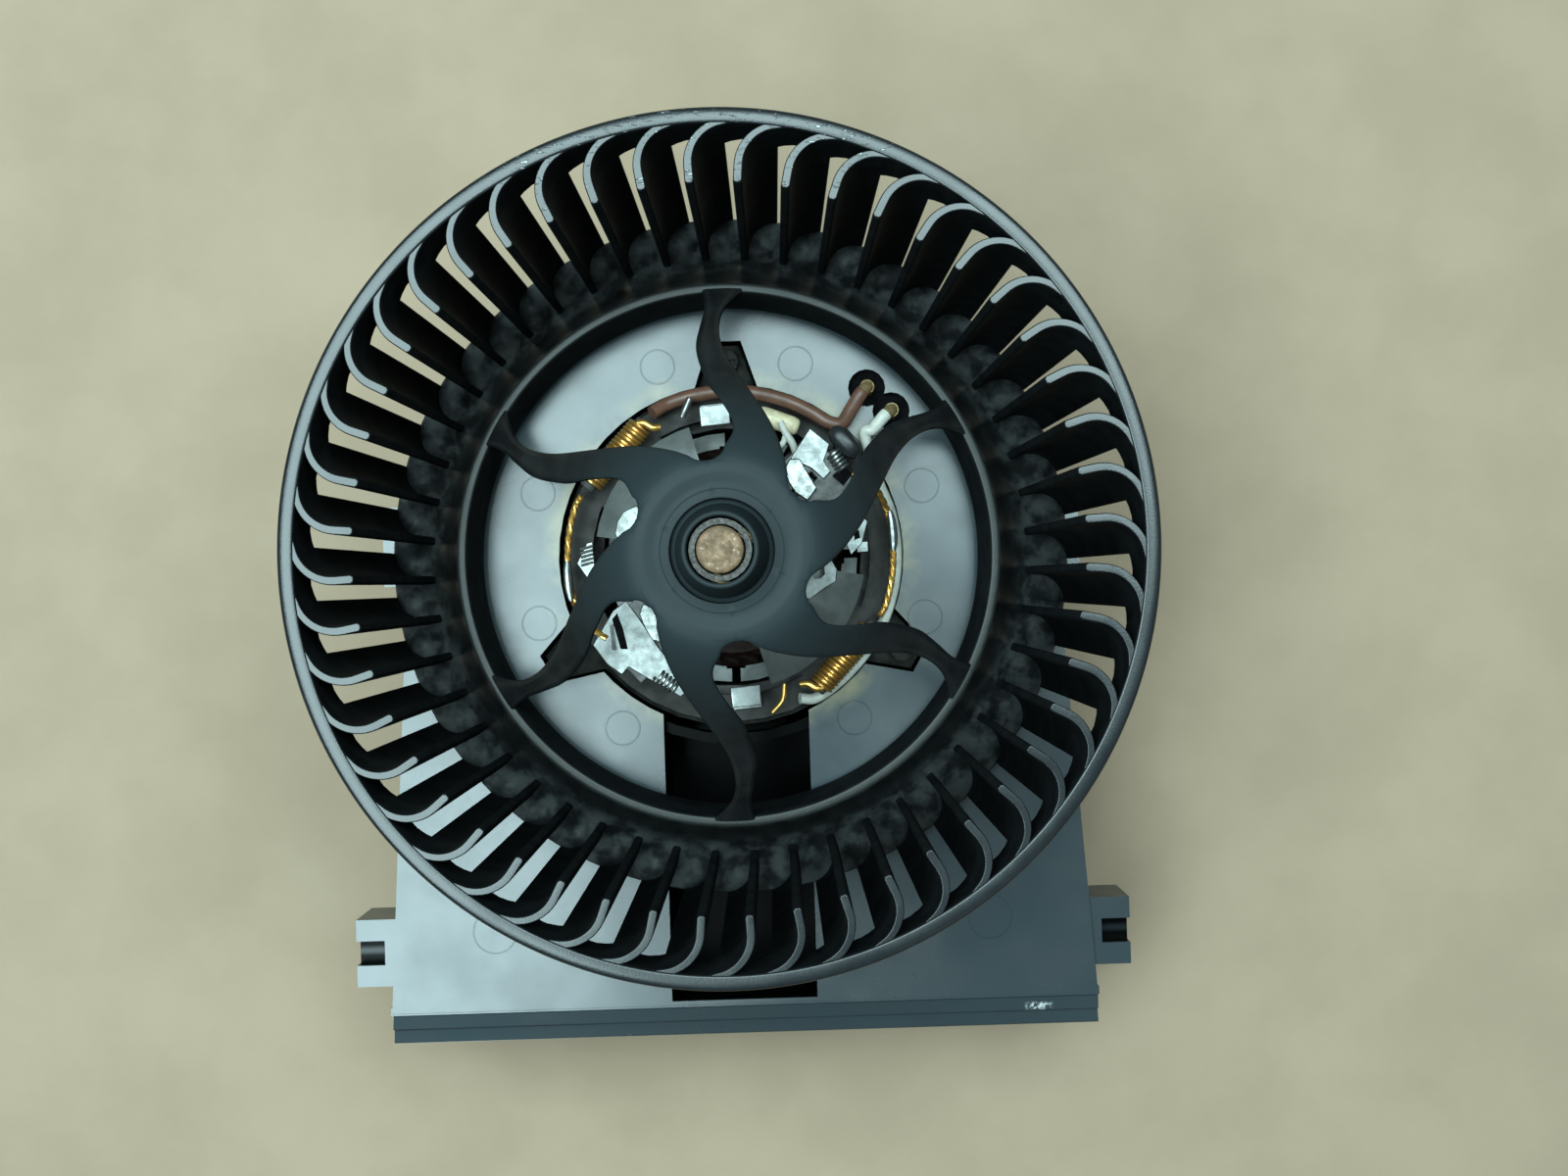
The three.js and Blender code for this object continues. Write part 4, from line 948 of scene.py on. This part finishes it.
# ---------------------------------------------------------------- leads
def leads():
    """Insulated leads, bare at the end that stands in its terminal."""
    runs = {
        "brown": [polar(34.4, 48.4, 51), polar(33, 52.5, 50.4)]
        + [polar(32.9, a, 50.2) for a in spread(58, 111, 8)] + [polar(32.4, 117, 51.8)],
        "white": [polar(WIRE_HOLE_R - 7.5, 40, 51.6)]
        + [polar(33.2, a, 48.3) for a in spread(26, -60, 8)] + [polar(31.6, -66, 49.4)],
    }
    radii = {"brown": 1.4, "white": 1.1}
    for colour, hole in HOLE_ANGLES.items():
        foot = high(f"terminal_{colour}").z
        radius = radii[colour]
        start = [polar(WIRE_HOLE_R, hole, foot + 0.3), polar(WIRE_HOLE_R - 0.4, hole, foot + 1.6),
                 polar(WIRE_HOLE_R - 2.4, hole, 52.8), polar(WIRE_HOLE_R - 5.6, hole - 0.6, 52.2)]
        line = curve(start + runs[colour], 10)
        sizes = [lerp(1.4, radius, min(1, i / 50)) for i in range(len(line))]
        piece(f"{colour}_lead", tube(line[17:], sizes[17:], 20), f"{colour}_insulation", "base",
              [f"lead_{colour}"])
        piece(f"{colour}_lead_end", tube(line[:20], 1.25, 16), "brass")
        bottom = low(f"terminal_{colour}").z
        section = [(0, bottom), (0.9, bottom), (1.2, bottom + 0.6), (1.2, 45.5), (1.5, 46),
                   (1.5, foot - 0.3), (1.3, foot), (0, foot)]
        x, y, _ = polar(WIRE_HOLE_R, hole)
        piece(f"{colour}_terminal", moved(lathe(section, 32), (x, y, 0)), "brass", "base",
              [f"terminal_{colour}"])


def capacitor():
    """The dipped capacitor: a puffy pillow with round corners, on two legs."""
    angle = sum(HOLE_ANGLES.values()) / 2 - 3
    middle = Vector((31.7, 0.5, 55.8))
    half = Vector((2.1, 3.9, 2.4))
    squareness = 2.6
    body = []
    for level in spread(-88, 88, 15):
        lean = math.radians(level)
        size = math.cos(lean) ** 0.6
        loop = []
        for around in spread(0, 345, 24):
            c, s, _ = polar(size, around)
            round_part = abs(c / size) ** squareness + abs(s / size) ** squareness
            corner = round_part ** (-1 / squareness)
            loop.append((middle.x + half.x * c * corner, middle.y + half.y * s * corner,
                         middle.z + half.z * math.sin(lean)))
        body.append(loop)
    legs = [tube([(30.3, v, CARD_TOP_Z + 0.3), (30.3, v, 54)], 0.38, 10) for v in (-0.6, 1.6)]
    piece("capacitor", turned(together(loft(body), *legs), angle), "capacitor_coat", "base",
          ["suppression_capacitor"], smooth=50)


def cream_bead():
    """The cream ceramic bead on its stem, with a forked pale sleeve."""
    angle = 69
    out, height = 28.6, 50
    end = [(4.4, 0.9), (4.2, 1.4), (3.7, 1.75), (2.9, 1.9)]
    profile = [(-v, r) for v, r in end] + end[::-1]
    bead = tube([(out, v, height) for v, r in profile], [r for v, r in profile], 28)
    stem = tube([(out, 0, CARD_TOP_Z + 0.3), (out, 0, height - 1)], 0.45, 10)
    piece("cream_bead", turned(together(bead, stem), angle), "cream_ceramic", "base",
          ["ceramic_suppressor"], smooth=50)
    sleeve = curve([(28.5, -0.5, 51.8), (26.6, -2.4, 51.6), (25.2, -4.2, 51.2), (23.6, -5.6, 50.6)])
    other = curve([(26.6, -2.4, 51.4), (24.6, -2.4, 51), (23, -1.4, 50.4)])
    piece("pale_sleeve", turned(together(tube(sleeve, 0.75), tube(other, 0.6)), angle), "white_insulation")


# ---------------------------------------------------------------- base
def base():
    softened("base_housing", "base_plastic", 0.45)
    softened("rear_cover", "base_plastic", 0.4)
    softened("connector_housing", "black_and_hole_shade", 0.35)
    # The mount ring and its screws take the near-black finish as painted pocket shade.
    softened("motor_mount_ring", "pocket_shade_steel", 0.2)
    mounts = 3
    for index in range(1, mounts + 1):
        softened(f"damper_{index}", "rubber", 0.4)
        softened(f"mount_screw_{index}", "pocket_shade_steel", 0.2)
        softened(f"cover_screw_{index}", "bright_steel", 0.2)


def front_lip():
    """The stepped front lip, each tread sloping a little towards the front."""
    # Points of (y, z) from the deck's edge down the two steps.
    section = [
        (-89.8, 48.02), (-90.1, 47.92), (-90.32, 47.6), (-90.42, 47.1), (-90.7, 46.84), (-93.1, 46.66),
        (-93.38, 46.4), (-93.48, 45.5), (-93.75, 45.2), (-96.1, 45.02), (-96.4, 44.8), (-96.48, 44.3),
        (-96.48, 43.4), (-89.8, 43.4),
    ]
    ends = []
    for side in (-1, 1):
        ends.append([(side * (HALF_WIDTH - 0.06 - SIDE_TAPER * y), y, z) for y, z in section])
    piece("front_lip", loft(ends), "base_plastic", smooth=50)


def ejector_marks():
    """Shallow round witness marks on the deck, each a fine raised line round a flat disc."""
    circle_r, round_motor, at_front = 40.8, 3.55, 4.5
    angles = (18.6, 69.8, 109.5, 160.2, 197.5, 236, 305.6, 340.8)
    marks = [(round_motor, polar(circle_r, angle)) for angle in angles]
    marks += [(at_front, (side * 49.7, -73.9, 0)) for side in (1, -1)]
    shapes = []
    for radius, (x, y, _) in marks:
        section = [(0, -0.3), (radius, -0.3), (radius, 0.02), (radius - 0.06, 0.07),
                   (radius - 0.22, 0.07), (radius - 0.28, 0.02), (0, 0.02)]
        shapes.append(moved(lathe([(r, DECK_Z + z) for r, z in section], 48), (x, y, 0)))
    piece("ejector_marks", together(*shapes), "base_plastic", smooth=15)


# ---------------------------------------------------------------- what shows as it is
def carried_over():
    """CAD nodes whose own shape is right get the finish of their slot."""
    finishes = {
        "hub_bush": "worn_steel", "hub_clamp_ring": "bright_steel", "armature_core": "grey_steel",
        "rear_bearing": "bronze", "front_bearing": "bronze", "bearing_retainer": "bright_steel",
        "magnet_1": "ferrite", "magnet_2": "ferrite", "magnet_spring_1": "bright_steel",
        "magnet_spring_2": "bright_steel", "brush_card": "card_plastic",
        "thrust_washer_lower": "fibre", "thrust_washer_upper": "fibre",
    }
    for node, finish in finishes.items():
        NODES[node].data.materials.clear()
        NODES[node].data.materials.append(FINISHES[finish])


# ---------------------------------------------------------------- studio
def camera():
    data = bpy.data.cameras.new("camera")
    data.lens = CAMERA_LENS
    data.sensor_width = 36
    data.clip_start = 0.01
    obj = bpy.data.objects.new("camera", data)
    obj.location = (CAMERA_X, CAMERA_Y, RIM_Z * MM + CAMERA_ABOVE_RIM)
    obj.rotation_euler = (0, 0, math.radians(CAMERA_ROLL))
    bpy.context.scene.collection.objects.link(obj)
    bpy.context.scene.camera = obj


def pale_floor():
    mesh = bpy.data.meshes.new("floor")
    reach = 3.0
    corners = [(-reach, -reach, 0), (reach, -reach, 0), (reach, reach, 0), (-reach, reach, 0)]
    mesh.from_pydata(corners, [], [(0, 1, 2, 3)])
    floor = bpy.data.objects.new("floor", mesh)
    floor.location.z = CAD_BOX[0].z - 0.0003
    bpy.context.scene.collection.objects.link(floor)
    pale = plain("pale_floor", (0.34, 0.26, 0.18), 0.75, specular=0.2, blotch=0.05, size=40, grain=0.05,
                 grain_size=1.5)
    floor.data.materials.append(pale.material)


def area_lamp(name, centre, size, power, colour):
    light = bpy.data.lights.new(name, "AREA")
    light.shape = "RECTANGLE"
    light.size, light.size_y = size
    light.energy = power
    light.color = colour
    obj = bpy.data.objects.new(name, light)
    obj.location = centre
    bpy.context.scene.collection.objects.link(obj)


def lamps():
    """Overhead panels that leave the middle and the near right dark, as in the photo."""
    cool = (0.72, 0.97, 1.0)
    panels = {
        "left": ((-0.6, -0.2), (-0.09, 0.5)), "near_left": ((-0.6, -0.45), (-0.12, -0.2)),
        "rear": ((-0.09, 0.13), (0.5, 0.5)), "right": ((0.1, 0.02), (0.42, 0.13)),
    }
    for name, ((x0, y0), (x1, y1)) in panels.items():
        size = (x1 - x0, y1 - y0)
        centre = ((x0 + x1) / 2, (y0 + y1) / 2, PANEL_HEIGHT)
        area_lamp(name + "_panel", centre, size, PANEL_POWER_PER_AREA * size[0] * size[1], cool)
    area_lamp("fill", (0.6, -0.9, 1.0), (0.5, 0.5), 0.5, (1.0, 0.93, 0.82))

    world = bpy.data.worlds.new("world")
    world.use_nodes = True
    sky = world.node_tree.nodes["Background"]
    sky.inputs["Color"].default_value = (0.8, 0.92, 1.0, 1)
    sky.inputs["Strength"].default_value = 0.15
    bpy.context.scene.world = world
    bpy.context.scene.view_settings.view_transform = "Standard"


wheel_rim()
wheel_blades()
wheel_dish()
wheel_web()
shaft()
can()
commutator()
winding()
chokes()
pigtails()
brush_boxes()
brushes()
bridge_and_clamp()
card_fittings()
leads()
capacitor()
cream_bead()
base()
front_lip()
ejector_marks()
carried_over()
camera()
pale_floor()
lamps()
